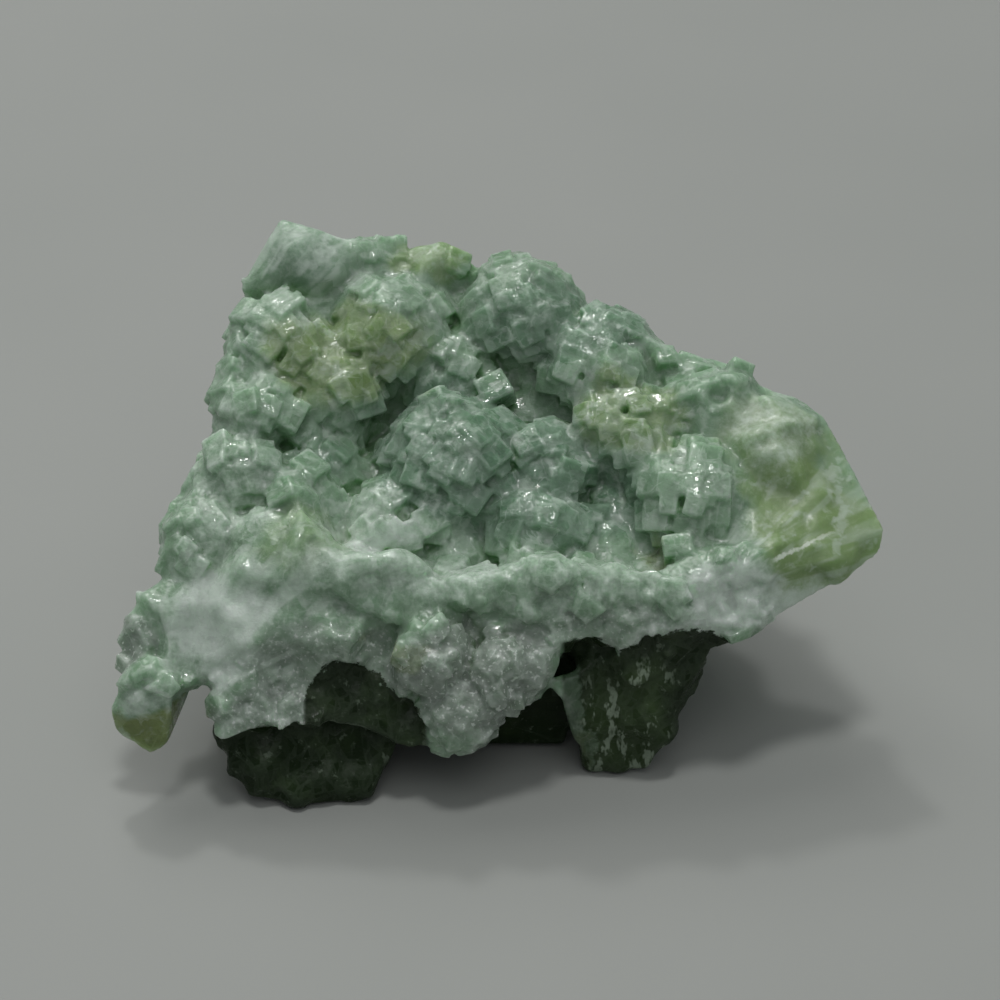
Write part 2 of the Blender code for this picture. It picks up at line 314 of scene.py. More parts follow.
@dataclass(frozen=True)
class Ledge:
    """A lip along a line on the front: the stone stands out above it and lies back below it, in millimetres."""

    edge: tuple[tuple[float, float, float], ...]
    out: float
    back: float
    above: float
    below: float

    def pushed(self, points: np.ndarray, normals: np.ndarray) -> np.ndarray:
        """How far each point moves towards the front.

        Args:
            points: One point a row.
            normals: The way the skin faces at each point.

        Returns:
            One distance for each point, below zero where it moves back.
        """
        line = np.array(self.edge)
        x = points[:, 0]
        over = points[:, 2] - np.interp(x, line[:, 0], line[:, 2])
        nearby = np.clip((5.0 - np.abs(points[:, 1] - np.interp(x, line[:, 0], line[:, 1]))) / 1.5, 0, 1)
        ends = np.clip((x - line[0, 0]) / 0.8, 0, 1) * np.clip((line[-1, 0] - x) / 0.8, 0, 1)
        facing = np.clip(0.3 - normals[:, 1], 0, 1)
        high = 0.5 + 0.5 * np.tanh(over / 0.15)
        fade = np.exp(-((np.maximum(over, 0) / self.above) ** 2 + (np.minimum(over, 0) / self.below) ** 2))
        return nearby * ends * facing * fade * (self.out * high - self.back * (1 - high))


RIM = Ledge(
    (
        (-12.6, -13.6, 16.2), (-11.2, -13.9, 15.4), (-10.1, -14.3, 14.7), (-8.2, -14.6, 13.7), (-6.3, -15.2, 13.8),
        (-4.4, -14.9, 14.7), (-2.9, -13.9, 15.0), (-1.3, -14.1, 14.2), (0.5, -14.5, 14.4), (2.5, -14.8, 13.9),
        (4.7, -14.9, 13.0),
    ),
    0.45, 0.55, 2.0, 1.4,
)
RIGHT_RIM = Ledge(
    (
        (4.7, -14.9, 12.6), (6.2, -14.9, 12.2), (7.4, -14.9, 12.5), (8.2, -14.6, 11.4), (9.2, -14.5, 10.7),
        (10.2, -14.5, 12.0), (12.5, -14.6, 12.8), (14.4, -14.4, 13.1), (15.7, -14.3, 12.5), (17.4, -14.1, 11.6),
        (19.0, -14.0, 10.5),
    ),
    0.35, 0.7, 1.6, 2.2,
)
LIP = Ledge(
    (
        (-23.0, -18.2, 5.6), (-20.8, -18.4, 5.8), (-19.1, -18.7, 6.3), (-17.0, -18.3, 6.6), (-14.8, -18.2, 6.9),
        (-12.6, -17.7, 6.6), (-10.2, -17.8, 6.0), (-7.7, -18.0, 5.0), (-5.9, -18.0, 4.4), (-4.6, -18.0, 4.2),
    ),
    0.5, 1.8, 1.0, 2.6,
)
CRUST = Ledge(
    (
        (-14.6, -17.4, 7.2), (-14.2, -17.0, 8.9), (-13.2, -16.4, 10.4), (-12.0, -15.9, 11.2), (-9.5, -15.9, 10.2),
        (-7.6, -16.4, 8.8), (-5.7, -17.6, 7.6), (-4.9, -18.0, 6.4),
    ),
    0.35, 0.45, 1.2, 1.5,
)


@dataclass(frozen=True)
class Fan:
    """Fine ribs that spread from a point, as on a mineral that grew outwards, in millimetres."""

    centre: tuple[float, float, float]
    place: Place
    height: float
    ribs: float

    def raised(self, points: np.ndarray) -> np.ndarray:
        """The ribs' height at each point."""
        arm = points - np.array(self.centre)
        away = np.linalg.norm(arm, axis=1)[:, None]
        share = self.place.inside(points)
        spots = arm / np.maximum(away, 0.5) * self.ribs
        wave = np.zeros(len(points))
        for i in np.nonzero(share > 0)[0]:
            wave[i] = noise.noise(Vector(spots[i]))
        return self.height * share * wave


def made_plain(obj: bpy.types.Object) -> bpy.types.Object:
    """Replaces an object's mesh by what its modifiers make of it.

    Args:
        obj: The object, whose modifiers are then removed.

    Returns:
        The same object.
    """
    graph = bpy.context.evaluated_depsgraph_get()
    made = bpy.data.meshes.new_from_object(obj.evaluated_get(graph))
    obj.modifiers.clear()
    old = obj.data
    obj.data = made
    bpy.data.meshes.remove(old)
    return obj


def new_object(name: str, bm: bmesh.types.BMesh) -> bpy.types.Object:
    """Turns a finished bmesh into a linked object and frees the bmesh."""
    mesh = bpy.data.meshes.new(name)
    bm.to_mesh(mesh)
    bm.free()
    obj = bpy.data.objects.new(name, mesh)
    bpy.context.scene.collection.objects.link(obj)
    return obj


def points_of(mesh: bpy.types.Mesh) -> np.ndarray:
    """A mesh's points in millimetres, one a row."""
    points = np.empty(len(mesh.vertices) * 3, np.float32)
    mesh.vertices.foreach_get("co", points)
    return points.reshape(-1, 3).astype(np.float64) / MM


def set_points(mesh: bpy.types.Mesh, points: np.ndarray) -> None:
    """Moves a mesh's points to these places, in millimetres."""
    mesh.vertices.foreach_set("co", (points * MM).astype(np.float32).ravel())
    mesh.update()


def normals_of(mesh: bpy.types.Mesh) -> np.ndarray:
    """A mesh's vertex normals, one a row."""
    normals = np.empty(len(mesh.vertices) * 3, np.float32)
    mesh.vertex_normals.foreach_get("vector", normals)
    return normals.reshape(-1, 3).astype(np.float64)


@dataclass
class CrystalKit:
    """The small pieces that grow on the stone, each one unit wide and fused into one closed mesh."""

    edge: float = 0.035
    root: float = -0.9
    taper: float = 1.1
    mosaics: int = 8
    tablets: int = 2
    flakes: int = 6
    splinters: int = 5
    seed: int = 21
    groups: dict[Habit, bpy.types.Collection] = field(default_factory=dict)

    def tiles(self, dice: random.Random, count: int) -> list[Slab]:
        """Splits a square into rectangles and stands a block of its own height on each."""
        rooms = [(-0.5, -0.5, 0.5, 0.5)]
        while len(rooms) < count:
            rooms.sort(key=lambda room: (room[2] - room[0]) * (room[3] - room[1]))
            x0, y0, x1, y1 = rooms.pop()
            share = dice.uniform(0.36, 0.64)
            if x1 - x0 > y1 - y0:
                split = x0 + (x1 - x0) * share
                rooms += [(x0, y0, split, y1), (split, y0, x1, y1)]
            else:
                split = y0 + (y1 - y0) * share
                rooms += [(x0, y0, x1, split), (x0, split, x1, y1)]
        return [
            Slab(
                (x0 + x1) / 2, (y0 + y1) / 2, (x1 - x0) / 2 + 0.015, (y1 - y0) / 2 + 0.015,
                0.13 + dice.uniform(-0.04, 0.04), dice.uniform(-0.03, 0.03), dice.uniform(-0.04, 0.04),
            )
            for x0, y0, x1, y1 in rooms
        ]

    def plates(self, dice: random.Random) -> list[Slab]:
        """Stands four thin plates side by side."""
        plates = []
        for i, y in enumerate((-0.36, -0.12, 0.13, 0.37)):
            plates.append(Slab(
                dice.uniform(-0.07, 0.07), y, dice.uniform(0.42, 0.54), 0.135, 0.13 + dice.uniform(-0.05, 0.06),
                dice.uniform(-0.04, 0.04), dice.uniform(-0.05, 0.05),
            ))
        return plates

    def slab_object(self, slab: Slab) -> bpy.types.Object:
        """Makes one block with bevelled edges that narrows towards its root."""
        bm = bmesh.new()
        bmesh.ops.create_cube(bm, size=2.0)
        for vert in bm.verts:
            high = vert.co.z > 0
            share = 1.0 if high else self.taper
            vert.co.x *= slab.half_x * share
            vert.co.y *= slab.half_y * share
            vert.co.z = slab.top if high else self.root
        rims = [edge for edge in bm.edges if max(vert.co.z for vert in edge.verts) > 0]
        bmesh.ops.bevel(bm, geom=rims, offset=self.edge, segments=1, profile=0.5, affect="EDGES")
        place = (
            Matrix.Translation((slab.x, slab.y, 0)) @ Matrix.Rotation(slab.turn, 4, "Z")
            @ Matrix.Rotation(slab.lean, 4, "X")
        )
        bmesh.ops.transform(bm, matrix=place, verts=bm.verts)
        return new_object("slab", bm)

    def fused(self, slabs: list[Slab]) -> bpy.types.Object:
        """Joins blocks into one closed crystal."""
        blocks = [self.slab_object(slab) for slab in slabs]
        crystal = blocks[0]
        for other in blocks[1:]:
            join = crystal.modifiers.new("join", "BOOLEAN")
            join.operation = "UNION"
            join.solver = "MANIFOLD"
            join.object = other
        made_plain(crystal)
        for other in blocks[1:]:
            bpy.data.objects.remove(other)
        return crystal

    def flake(self, dice: random.Random) -> bpy.types.Object:
        """Makes one flat-topped chip with sloping sides, as cleavage leaves on a broken face."""
        bm = bmesh.new()
        sides = dice.choice((4, 5, 5, 6))
        shape = dice.random()
        rings = []
        for reach, height in ((0.42, 0.06), (0.5, 0.03), (0.6, -0.35)):
            rings.append([])
            state = random.Random(shape)
            for i in range(sides):
                angle = (i + state.uniform(-0.28, 0.28)) / sides * 2 * math.pi
                away = reach * state.uniform(0.75, 1.15)
                tilt = 0.03 * math.cos(angle) if height > 0 else 0.0
                rings[-1].append(bm.verts.new((away * math.cos(angle), away * math.sin(angle), height + tilt)))
        bm.faces.new(rings[0])
        bm.faces.new(list(reversed(rings[2])))
        for upper, lower in zip(rings, rings[1:]):
            for i in range(sides):
                j = (i + 1) % sides
                bm.faces.new((lower[i], lower[j], upper[j], upper[i]))
        bmesh.ops.triangulate(bm, faces=[face for face in bm.faces if len(face.verts) == 4])
        bmesh.ops.recalc_face_normals(bm, faces=bm.faces)
        return new_object("flake", bm)

    def splinter(self, dice: random.Random) -> bpy.types.Object:
        """Makes one sharp broken grain."""
        bm = bmesh.new()
        for i in range(11):
            spot = Vector([dice.gauss(0, 1) for _ in range(3)]).normalized() * dice.uniform(0.42, 0.55)
            spot.z = spot.z * 0.8 - 0.1
            bm.verts.new(spot)
        made = bmesh.ops.convex_hull(bm, input=bm.verts)
        loose = {item for item in made["geom_interior"] if isinstance(item, bmesh.types.BMVert)}
        bmesh.ops.delete(bm, geom=list(loose), context="VERTS")
        return new_object("splinter", bm)

    def build(self) -> None:
        """Makes the collections that hold the crystals and the grains."""
        dice = random.Random(self.seed)
        made = {
            Habit.CRYSTALS: [self.fused(self.tiles(dice, 2 + i % 3)) for i in range(self.mosaics)]
            + [self.fused(self.plates(dice)) for _ in range(self.tablets)],
            Habit.FLAKES: [self.flake(dice) for _ in range(self.flakes)],
            Habit.GRAINS: [self.splinter(dice) for _ in range(self.splinters)],
        }
        for habit, pieces in made.items():
            group = bpy.data.collections.new(habit.value)
            bpy.context.scene.collection.children.link(group)
            for i, piece in enumerate(pieces):
                piece.name = f"{habit.value}_{i:02d}"
                bpy.context.scene.collection.objects.unlink(piece)
                group.objects.link(piece)
            self.groups[habit] = group

    def clear(self) -> None:
        for group in self.groups.values():
            for piece in list(group.objects):
                bpy.data.objects.remove(piece)
            bpy.data.collections.remove(group)


@dataclass
class BrokenStone:
    """The stone without its fine crystals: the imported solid, remeshed and broken up like fractured mineral."""

    voxel: float = 0.3
    soft_rounds: int = 8
    regrowth: float = 0.12
    core_share: float = 0.99
    core_keep: float = 0.25
    core_shell: float = 1.3
    kept_share: float = 0.3
    facing_rounds: int = 12
    ridge: float = 0.55
    chips: tuple[ChipScale, ...] = (
        ChipScale(4.2, 0.34, 11, False, 1.0, -0.2, -0.5),
        ChipScale(2.0, 0.36, 12, False, 0.8, 0.3, -0.65),
        ChipScale(1.1, 0.3, 13, True, 0.3, 1.0, -0.28),
        ChipScale(0.7, 0.3, 14, True, 0.15, 0.9, -0.15),
    )
    rough_places: tuple[Place, ...] = (
        Place((4, -12.5, 14), (13, 4, 3.2), 1.0),
        Place((16, -12.5, 14), (4.5, 3, 3.5), 1.0),
        Place((-2, -17, 9), (5, 3, 6), 1.0),
        Place((-16, -17, 8.5), (9, 3, 2.5), 0.8),
        Place((-10, 18, 16), (6, 5, 4), 0.6),
        Place((10, 14, 14), (5, 5, 5), 0.5),
        Place((24, 4, 18), (4, 5, 5), 0.5),
        Place((-26, -15, 10), (3, 4, 4), 0.5),
    )
    smooth_places: tuple[Place, ...] = (
        Place((-20, -13.5, 13), (6, 3.5, 4), 0.8),
        Place((-18, -10.5, 16.5), (7, 4, 4), 0.7),
        Place((25, -7.5, 17), (7.5, 6, 4.5), 1.0),
        Place((-7, -11.5, 16.5), (8, 3.5, 2.2), 0.8),
        Place((-10, -17, 7), (4, 2, 2), 0.9),
        Place((-14.5, -18, 3), (7, 5, 3.6), 0.8),
        Place((10, -15.5, 4), (5, 4, 5), 0.5),
        Place((-15, 10.5, 30.5), (4.2, 3.5, 3.5), 1.0),
        Place((21.5, -2.0, 22), (6.5, 6.5, 4.5), 0.9),
        Place((-4.4, 12.6, 29.9), (3, 2.5, 2.2), 0.7),
        Place((-27, -17, 6), (3, 3, 3), 1.0),
        Place((5.5, -15.5, 7), (2.5, 3, 4), 1.0),
    )
    crust_places: tuple[Place, ...] = (
        Place((0, 0, 22), (15, 9, 8), 1.0),
        Place((-16, 1, 23), (7, 8, 7), 1.0),
        Place((-1, 10, 28), (15, 5, 5), 0.8),
        Place((10, 7, 24), (8, 6, 5), 1.0),
        Place((14, -5, 20), (6, 5, 4), 0.9),
        Place((16, 4, 23.5), (5, 4, 3), 1.0),
        Place((-22, -6, 17), (4, 6, 5), 0.7),
    )
    grooves: tuple[Groove, ...] = (
        Groove((20.5, -10.8, 17.0), (28.6, -6.0, 18.4), 0.25, 0.5),
        Groove((20.0, -6.5, 20.5), (24.5, -9.0, 17.6), 0.35, 0.4),
    )
    ledges: tuple[Ledge, ...] = (RIM, RIGHT_RIM, LIP, CRUST)
    fans: tuple[Fan, ...] = (
        Fan((-12.0, -16.0, 9.0), Place((-15, -18, 3), (8, 4, 4)), 0.35, 7.0),
        Fan((16.0, -12.0, 14.5), Place((24, -8, 17), (7, 6, 4.5)), 0.3, 9.0),
        Fan((-24.0, -17.0, 9.0), Place((-19, -13, 13.5), (7, 5, 5)), 0.25, 7.0),
        Fan((9.0, -13.0, 10.0), Place((10, -15, 5), (5, 5, 5)), 0.3, 7.0),
    )

    def copied(self) -> bpy.types.Object:
        """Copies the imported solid's mesh into a new object and merges its loose triangles."""
        bm = bmesh.new()
        bm.from_mesh(frame["nodes"][NODE].data)
        bmesh.ops.remove_doubles(bm, verts=bm.verts, dist=1e-6)
        return new_object("broken_stone", bm)

    def remeshed(self, obj: bpy.types.Object, voxel: float) -> None:
        """Gives the stone an even skin with points this far apart, in millimetres."""
        even = obj.modifiers.new("even", "REMESH")
        even.mode = "VOXEL"
        even.voxel_size = voxel * MM
        made_plain(obj)

    def sink_sprays(self, obj: bpy.types.Object) -> None:
        """Draws the solid's coarse crystals down to round cores, to make room for the fine ones."""
        points = points_of(obj.data)
        for spray in SPRAYS:
            centre = np.array(spray.centre)
            arm = points - centre
            away = np.linalg.norm(arm, axis=1)
            level = arm @ np.array(spray.axis) / np.maximum(away, 1e-6)
            core = spray.radius * self.core_share
            shell = (away > core) & (away < core + 2 * self.core_shell) & (level > 0.1)
            depth = away - core
            sunk = np.where(
                depth < self.core_shell,
                depth * self.core_keep,
                self.core_shell * self.core_keep + (depth - self.core_shell) * (2 - self.core_keep),
            )
            points[shell] = centre + arm[shell] * ((core + sunk[shell]) / away[shell])[:, None]
        set_points(obj.data, points)

    def soften(self, obj: bpy.types.Object) -> None:
        """Melts the solid's flat triangles together and grows it back to its size."""
        smooth = obj.modifiers.new("soften", "SMOOTH")
        smooth.factor = 0.5
        smooth.iterations = self.soft_rounds
        made_plain(obj)
        points = points_of(obj.data)
        set_points(obj.data, points + normals_of(obj.data) * self.regrowth)

    def chip_heights(self, points: np.ndarray, scale: ChipScale) -> np.ndarray:
        """Heights of tilted broken faces, each the nearest one to its point.

        Args:
            points: The stone's points, in millimetres.
            scale: The size of the faces.

        Returns:
            One height for each point, in millimetres.
        """
        dice = np.random.default_rng(scale.seed)
        low, high = points.min(0) - scale.spacing, points.max(0) + scale.spacing
        grid = np.stack(np.meshgrid(*[np.arange(a, b, scale.spacing) for a, b in zip(low, high)], indexing="ij"), -1)
        cells = grid.reshape(-1, 3)
        cells = cells + dice.uniform(-0.42, 0.42, cells.shape) * scale.spacing
        tilts = dice.normal(0, 1, cells.shape)
        tilts *= scale.tilt / np.linalg.norm(tilts, axis=1)[:, None]
        tree = kdtree.KDTree(len(cells))
        for i, cell in enumerate(cells):
            tree.insert(cell, i)
        tree.balance()
        found = [tree.find_n(point, 1 if scale.stepped else 3) for point in points]
        first = np.array([item[0][2] for item in found])
        height = np.full(len(points), np.inf)
        for rank in range(len(found[0])):
            index = np.array([item[rank][1] for item in found])
            away = np.array([item[rank][2] for item in found])
            face = ((points - cells[index]) * tilts[index]).sum(1) + self.ridge * (away - first)
            height = np.minimum(height, face)
        return height

    def roughness_at(self, points: np.ndarray) -> tuple[np.ndarray, np.ndarray]:
        """How rough and how smooth the skin is meant to be at each point."""
        rough = np.clip(sum(place.inside(points) for place in self.rough_places), 0, 1)
        smooth = np.clip(sum(place.inside(points) for place in self.smooth_places), 0, 1)
        return rough, smooth

    def broken_up(self, obj: bpy.types.Object) -> None:
        """Chips, swells and cracks the skin, more in the rough places and less in the smooth ones."""
        points = points_of(obj.data)
        normals = normals_of(obj.data)
        rough, smooth = self.roughness_at(points)
        height = np.zeros(len(points))
        for scale in self.chips:
            share = np.clip(scale.everywhere + scale.where_rough * rough + scale.where_smooth * smooth, 0, 2)
            height += share * self.chip_heights(points, scale)
        grain = np.array([noise.fractal(Vector(point) / 1.1, 0.8, 2.0, 3) for point in points])
        swell = np.array([noise.noise(Vector(point) / 4.5) for point in points])
        height += 0.08 * (1 + rough - 0.8 * smooth) * grain + 0.2 * swell
        for groove in self.grooves:
            height -= groove.sunk(points)
        for fan in self.fans:
            height += fan.raised(points)
        moved = points + normals * height[:, None]
        for ledge in self.ledges:
            moved[:, 1] -= ledge.pushed(points, normals)
        moved[:, 2] = np.maximum(moved[:, 2], 0.0)
        set_points(obj.data, moved)

    def add_crags(self, obj: bpy.types.Object) -> None:
        """Sets the flat-faced blocks into the skin, which the next remesh fuses."""
        bm = bmesh.new()
        bm.from_mesh(obj.data)
        for crag in CRAGS:
            crag.add_to(bm)
        bm.to_mesh(obj.data)
        bm.free()

    def thinned(self, obj: bpy.types.Object) -> None:
        """Drops points where the skin is nearly flat."""
        thin = obj.modifiers.new("thin", "DECIMATE")
        thin.ratio = self.kept_share
        made_plain(obj)

    def facing(self, mesh: bpy.types.Mesh) -> np.ndarray:
        """Which way the skin faces at each point, evened out over its neighbours."""
        edges = np.empty(len(mesh.edges) * 2, np.int32)
        mesh.edges.foreach_get("vertices", edges)
        first, second = edges.reshape(-1, 2).T
        ways = normals_of(mesh)
        for _ in range(self.facing_rounds):
            total = ways.copy()
            np.add.at(total, first, ways[second])
            np.add.at(total, second, ways[first])
            ways = total / np.maximum(np.linalg.norm(total, axis=1), 1e-9)[:, None]
        return ways

    def outside_sprays(self, points: np.ndarray) -> np.ndarray:
        """One where no spray covers the point, else 0."""
        bare = np.ones(len(points))
        for spray in SPRAYS:
            arm = points - np.array(spray.centre)
            away = np.linalg.norm(arm, axis=1)
            level = arm @ np.array(spray.axis) / np.maximum(away, 1e-6)
            bare[(away < spray.radius + 0.6) & (level > math.cos(math.radians(spray.reach)))] = 0.0
        return bare

    def mark_growth(self, obj: bpy.types.Object) -> None:
        """Stores how thickly broken grains and crystals grow at each point."""
        points = points_of(obj.data)
        rough, smooth = self.roughness_at(points)
        above = np.clip((points[:, 2] - 5.0) / 2.0, 0.0, 1.0)
        bare = self.outside_sprays(points)
        crust = np.clip(sum(place.inside(points) for place in self.crust_places), 0, 1)
        front = np.clip((points[:, 1] + 8.5) / 1.5, 0, 1)
        marks = {
            "grain": np.clip((0.1 + rough - smooth) * above, 0, 1),
            "crust": np.clip(crust * front - smooth, 0, 1) * (0.3 + 0.7 * bare),
            "flake": np.clip(1 - crust * front - smooth, 0, 1) * bare * above * (0.3 + 0.7 * rough),
        }
        for name, share in marks.items():
            layer = obj.data.attributes.new(name, "FLOAT", "POINT")
            layer.data.foreach_set("value", share.astype(np.float32))
        layer = obj.data.attributes.new("facing", "FLOAT_VECTOR", "POINT")
        layer.data.foreach_set("vector", self.facing(obj.data).astype(np.float32).ravel())

    def build(self) -> bpy.types.Object:
        """Makes the broken stone.

        Returns:
            An object with an even, closed skin.
        """
        obj = self.copied()
        self.remeshed(obj, self.voxel)
        self.sink_sprays(obj)
        self.soften(obj)
        self.broken_up(obj)
        self.add_crags(obj)
        self.remeshed(obj, self.voxel)
        self.thinned(obj)
        self.mark_growth(obj)
        LOG.info("broken stone: %d faces", len(obj.data.polygons))
        return obj


class GrowthTree:
    """The node tree that grows crystals on points, scatters grains on a skin and fuses everything."""

    def __init__(self) -> None:
        """Starts an empty tree with its named inputs."""
        self.tree = bpy.data.node_groups.new("crystal_growth", "GeometryNodeTree")
        self.tree.is_modifier = True
        self.sockets: dict[str, str] = {}
        for name, kind in (
            ("Skin", "NodeSocketGeometry"),
            ("Places", "NodeSocketObject"),
            ("Crystals", "NodeSocketCollection"),
            ("Flakes", "NodeSocketCollection"),
            ("Grains", "NodeSocketCollection"),
            ("Lean", "NodeSocketFloat"),
            ("Roll", "NodeSocketFloat"),
            ("Crust Width", "NodeSocketFloat"),
            ("Crust Spacing", "NodeSocketFloat"),
            ("Crust per m2", "NodeSocketFloat"),
            ("Flake Width", "NodeSocketFloat"),
            ("Flake Spacing", "NodeSocketFloat"),
            ("Grain Width", "NodeSocketFloat"),
            ("Grains per m2", "NodeSocketFloat"),
            ("Seed", "NodeSocketInt"),
            ("Finish", "NodeSocketMaterial"),
        ):
            item = self.tree.interface.new_socket(name, in_out="INPUT", socket_type=kind)
            self.sockets[name] = item.identifier
        self.tree.interface.new_socket("Skin", in_out="OUTPUT", socket_type="NodeSocketGeometry")
        self.inputs = self.tree.nodes.new("NodeGroupInput").outputs
        self.outputs = self.tree.nodes.new("NodeGroupOutput").inputs

    def node(self, kind: str, settings: dict | None = None, values: dict | None = None) -> bpy.types.Node:
        """Adds a node.

        Args:
            kind: The node's type.
            settings: Properties that are set first, such as a data type.
            values: What each input socket gets, a value or another socket, by the socket's name or number.

        Returns:
            The node.
        """
        made = self.tree.nodes.new(kind)
        for name, value in (settings or {}).items():
            setattr(made, name, value)
        for key, value in (values or {}).items():
            socket = made.inputs[key]
            for source in value if isinstance(value, list) else [value]:
                if isinstance(source, bpy.types.NodeSocket):
                    self.tree.links.new(source, socket)
                else:
                    socket.default_value = source
        return made

    def times(self, first: object, second: object) -> bpy.types.NodeSocket:
        """Two numbers or sockets multiplied."""
        return self.node("ShaderNodeMath", {"operation": "MULTIPLY"}, {0: first, 1: second}).outputs[0]

    def salted(self, salt: int) -> bpy.types.NodeSocket:
        """The tree's seed, changed by a number of its own for each use."""
        return self.node("ShaderNodeMath", {"operation": "ADD"}, {0: self.inputs["Seed"], 1: float(salt)}).outputs[0]

    def random_float(self, low: object, high: object, salt: int) -> bpy.types.NodeSocket:
        """A random number for each point, between two sockets or numbers."""
        values = {2: low, 3: high, "Seed": self.salted(salt)}
        return self.node("FunctionNodeRandomValue", {"data_type": "FLOAT"}, values).outputs[1]

    def marked(self, name: str, kind: str = "FLOAT") -> bpy.types.NodeSocket:
        """An attribute that the points or the skin carry."""
        return self.node("GeometryNodeInputNamedAttribute", {"data_type": kind}, {"Name": name}).outputs[0]

    def upright(self, name: str) -> bpy.types.NodeSocket:
        """The rotation that stands a piece up along a direction that the points carry."""
        values = {"Vector": self.marked(name, "FLOAT_VECTOR")}
        return self.node("FunctionNodeAlignRotationToVector", {"axis": "Z"}, values).outputs[0]

    def leaned(self, upright: bpy.types.NodeSocket, lean: object, roll: object, salt: int) -> bpy.types.NodeSocket:
        """Tips and turns a rotation at random.

        Args:
            upright: The rotation to start from.
            lean: The most it tips, in radians.
            roll: The most it turns about its own axis, in radians.
            salt: A number that makes these draws differ from others.

        Returns:
            The rotation's socket.
        """
        angles = [
            self.times(self.random_float(-1.0, 1.0, salt + i), most) for i, most in enumerate((lean, lean, roll))
        ]
        euler = self.node("ShaderNodeCombineXYZ", None, dict(enumerate(angles)))
        turn = self.node("FunctionNodeEulerToRotation", None, {0: euler.outputs[0]})
        both = {"Rotation": upright, "Rotate By": turn.outputs[0]}
        return self.node("FunctionNodeRotateRotation", {"rotation_space": "LOCAL"}, both).outputs[0]

    def placed(self, kit: Habit, count: int, points: object, turn: object, width: object, salt: int) -> object:
        """Puts a piece of a kit on each point.

        Args:
            kit: Which kit the pieces come from.
            points: Where the pieces go.
            turn: Each piece's rotation.
            width: Each piece's width, in metres.
            salt: A number that makes these draws differ from others.

        Returns:
            The instances' socket.
        """
        values = {"Collection": self.inputs[kit.value], "Separate Children": True, "Reset Children": True}
        pieces = self.node("GeometryNodeCollectionInfo", None, values)
        values = {4: 0, 5: count - 1, "Seed": self.salted(salt)}
        pick = self.node("FunctionNodeRandomValue", {"data_type": "INT"}, values)
        stretch = [self.random_float(0.85, 1.15, salt + 1 + i) for i in range(3)]
        shape = self.node("ShaderNodeCombineXYZ", None, dict(enumerate(stretch)))
        size = self.node("ShaderNodeVectorMath", {"operation": "SCALE"}, {0: shape.outputs[0], "Scale": width})
        values = {
            "Points": points, "Instance": pieces.outputs[0], "Pick Instance": True, "Instance Index": pick.outputs[2],
            "Rotation": turn, "Scale": size.outputs[0],
        }
        return self.node("GeometryNodeInstanceOnPoints", None, values).outputs[0]

    def sprays(self, count: int) -> bpy.types.NodeSocket:
        """Crystals that stand on the marked places, each along its own outward direction."""
        places = self.node("GeometryNodeObjectInfo", None, {"Object": self.inputs["Places"]})
        own = self.node("ShaderNodeCombineXYZ", None, {2: self.marked("turn")})
        spin = self.node("FunctionNodeEulerToRotation", None, {0: own.outputs[0]})
        both = {"Rotation": self.upright("out"), "Rotate By": spin.outputs[0]}
        turned = self.node("FunctionNodeRotateRotation", {"rotation_space": "LOCAL"}, both).outputs[0]
        turn = self.leaned(turned, self.inputs["Lean"], self.inputs["Roll"], 10)
        return self.placed(Habit.CRYSTALS, count, places.outputs["Geometry"], turn, self.marked("width"), 20)

    def crust(self, count: int) -> bpy.types.NodeSocket:
        """Crystals on the skin between the sprays, where its crust mark says."""
        values = {
            "Mesh": self.inputs["Skin"], "Distance Min": self.inputs["Crust Spacing"],
            "Density Max": self.inputs["Crust per m2"], "Density Factor": self.marked("crust"),
            "Seed": self.inputs["Seed"],
        }
        spread = self.node("GeometryNodeDistributePointsOnFaces", {"distribute_method": "POISSON"}, values)
        turn = self.leaned(self.upright("facing"), self.inputs["Lean"], self.inputs["Roll"], 30)
        width = self.times(self.random_float(0.7, 1.2, 36), self.inputs["Crust Width"])
        return self.placed(Habit.CRYSTALS, count, spread.outputs["Points"], turn, width, 40)

    def flakes(self, count: int) -> bpy.types.NodeSocket:
        """Flat chips on the broken faces, where the flake mark says."""
        values = {
            "Mesh": self.inputs["Skin"], "Distance Min": self.inputs["Flake Spacing"],
            "Density Max": self.inputs["Crust per m2"], "Density Factor": self.marked("flake"),
            "Seed": self.inputs["Seed"],
        }
        spread = self.node("GeometryNodeDistributePointsOnFaces", {"distribute_method": "POISSON"}, values)
        turn = self.leaned(self.upright("facing"), 0.09, math.pi, 70)
        width = self.times(self.random_float(0.5, 1.25, 76), self.inputs["Flake Width"])
        return self.placed(Habit.FLAKES, count, spread.outputs["Points"], turn, width, 80)

    def grains(self, count: int) -> bpy.types.NodeSocket:
        """Small broken grains on the skin, where its grain mark says."""
        values = {
            "Mesh": self.inputs["Skin"], "Seed": self.inputs["Seed"],
            "Density": self.times(self.marked("grain"), self.inputs["Grains per m2"]),
        }
        spread = self.node("GeometryNodeDistributePointsOnFaces", {"distribute_method": "RANDOM"}, values)
        turn = self.leaned(spread.outputs["Rotation"], 0.9, math.pi, 50)
        width = self.times(self.random_float(0.4, 1.3, 56), self.inputs["Grain Width"])
        return self.placed(Habit.GRAINS, count, spread.outputs["Points"], turn, width, 60)

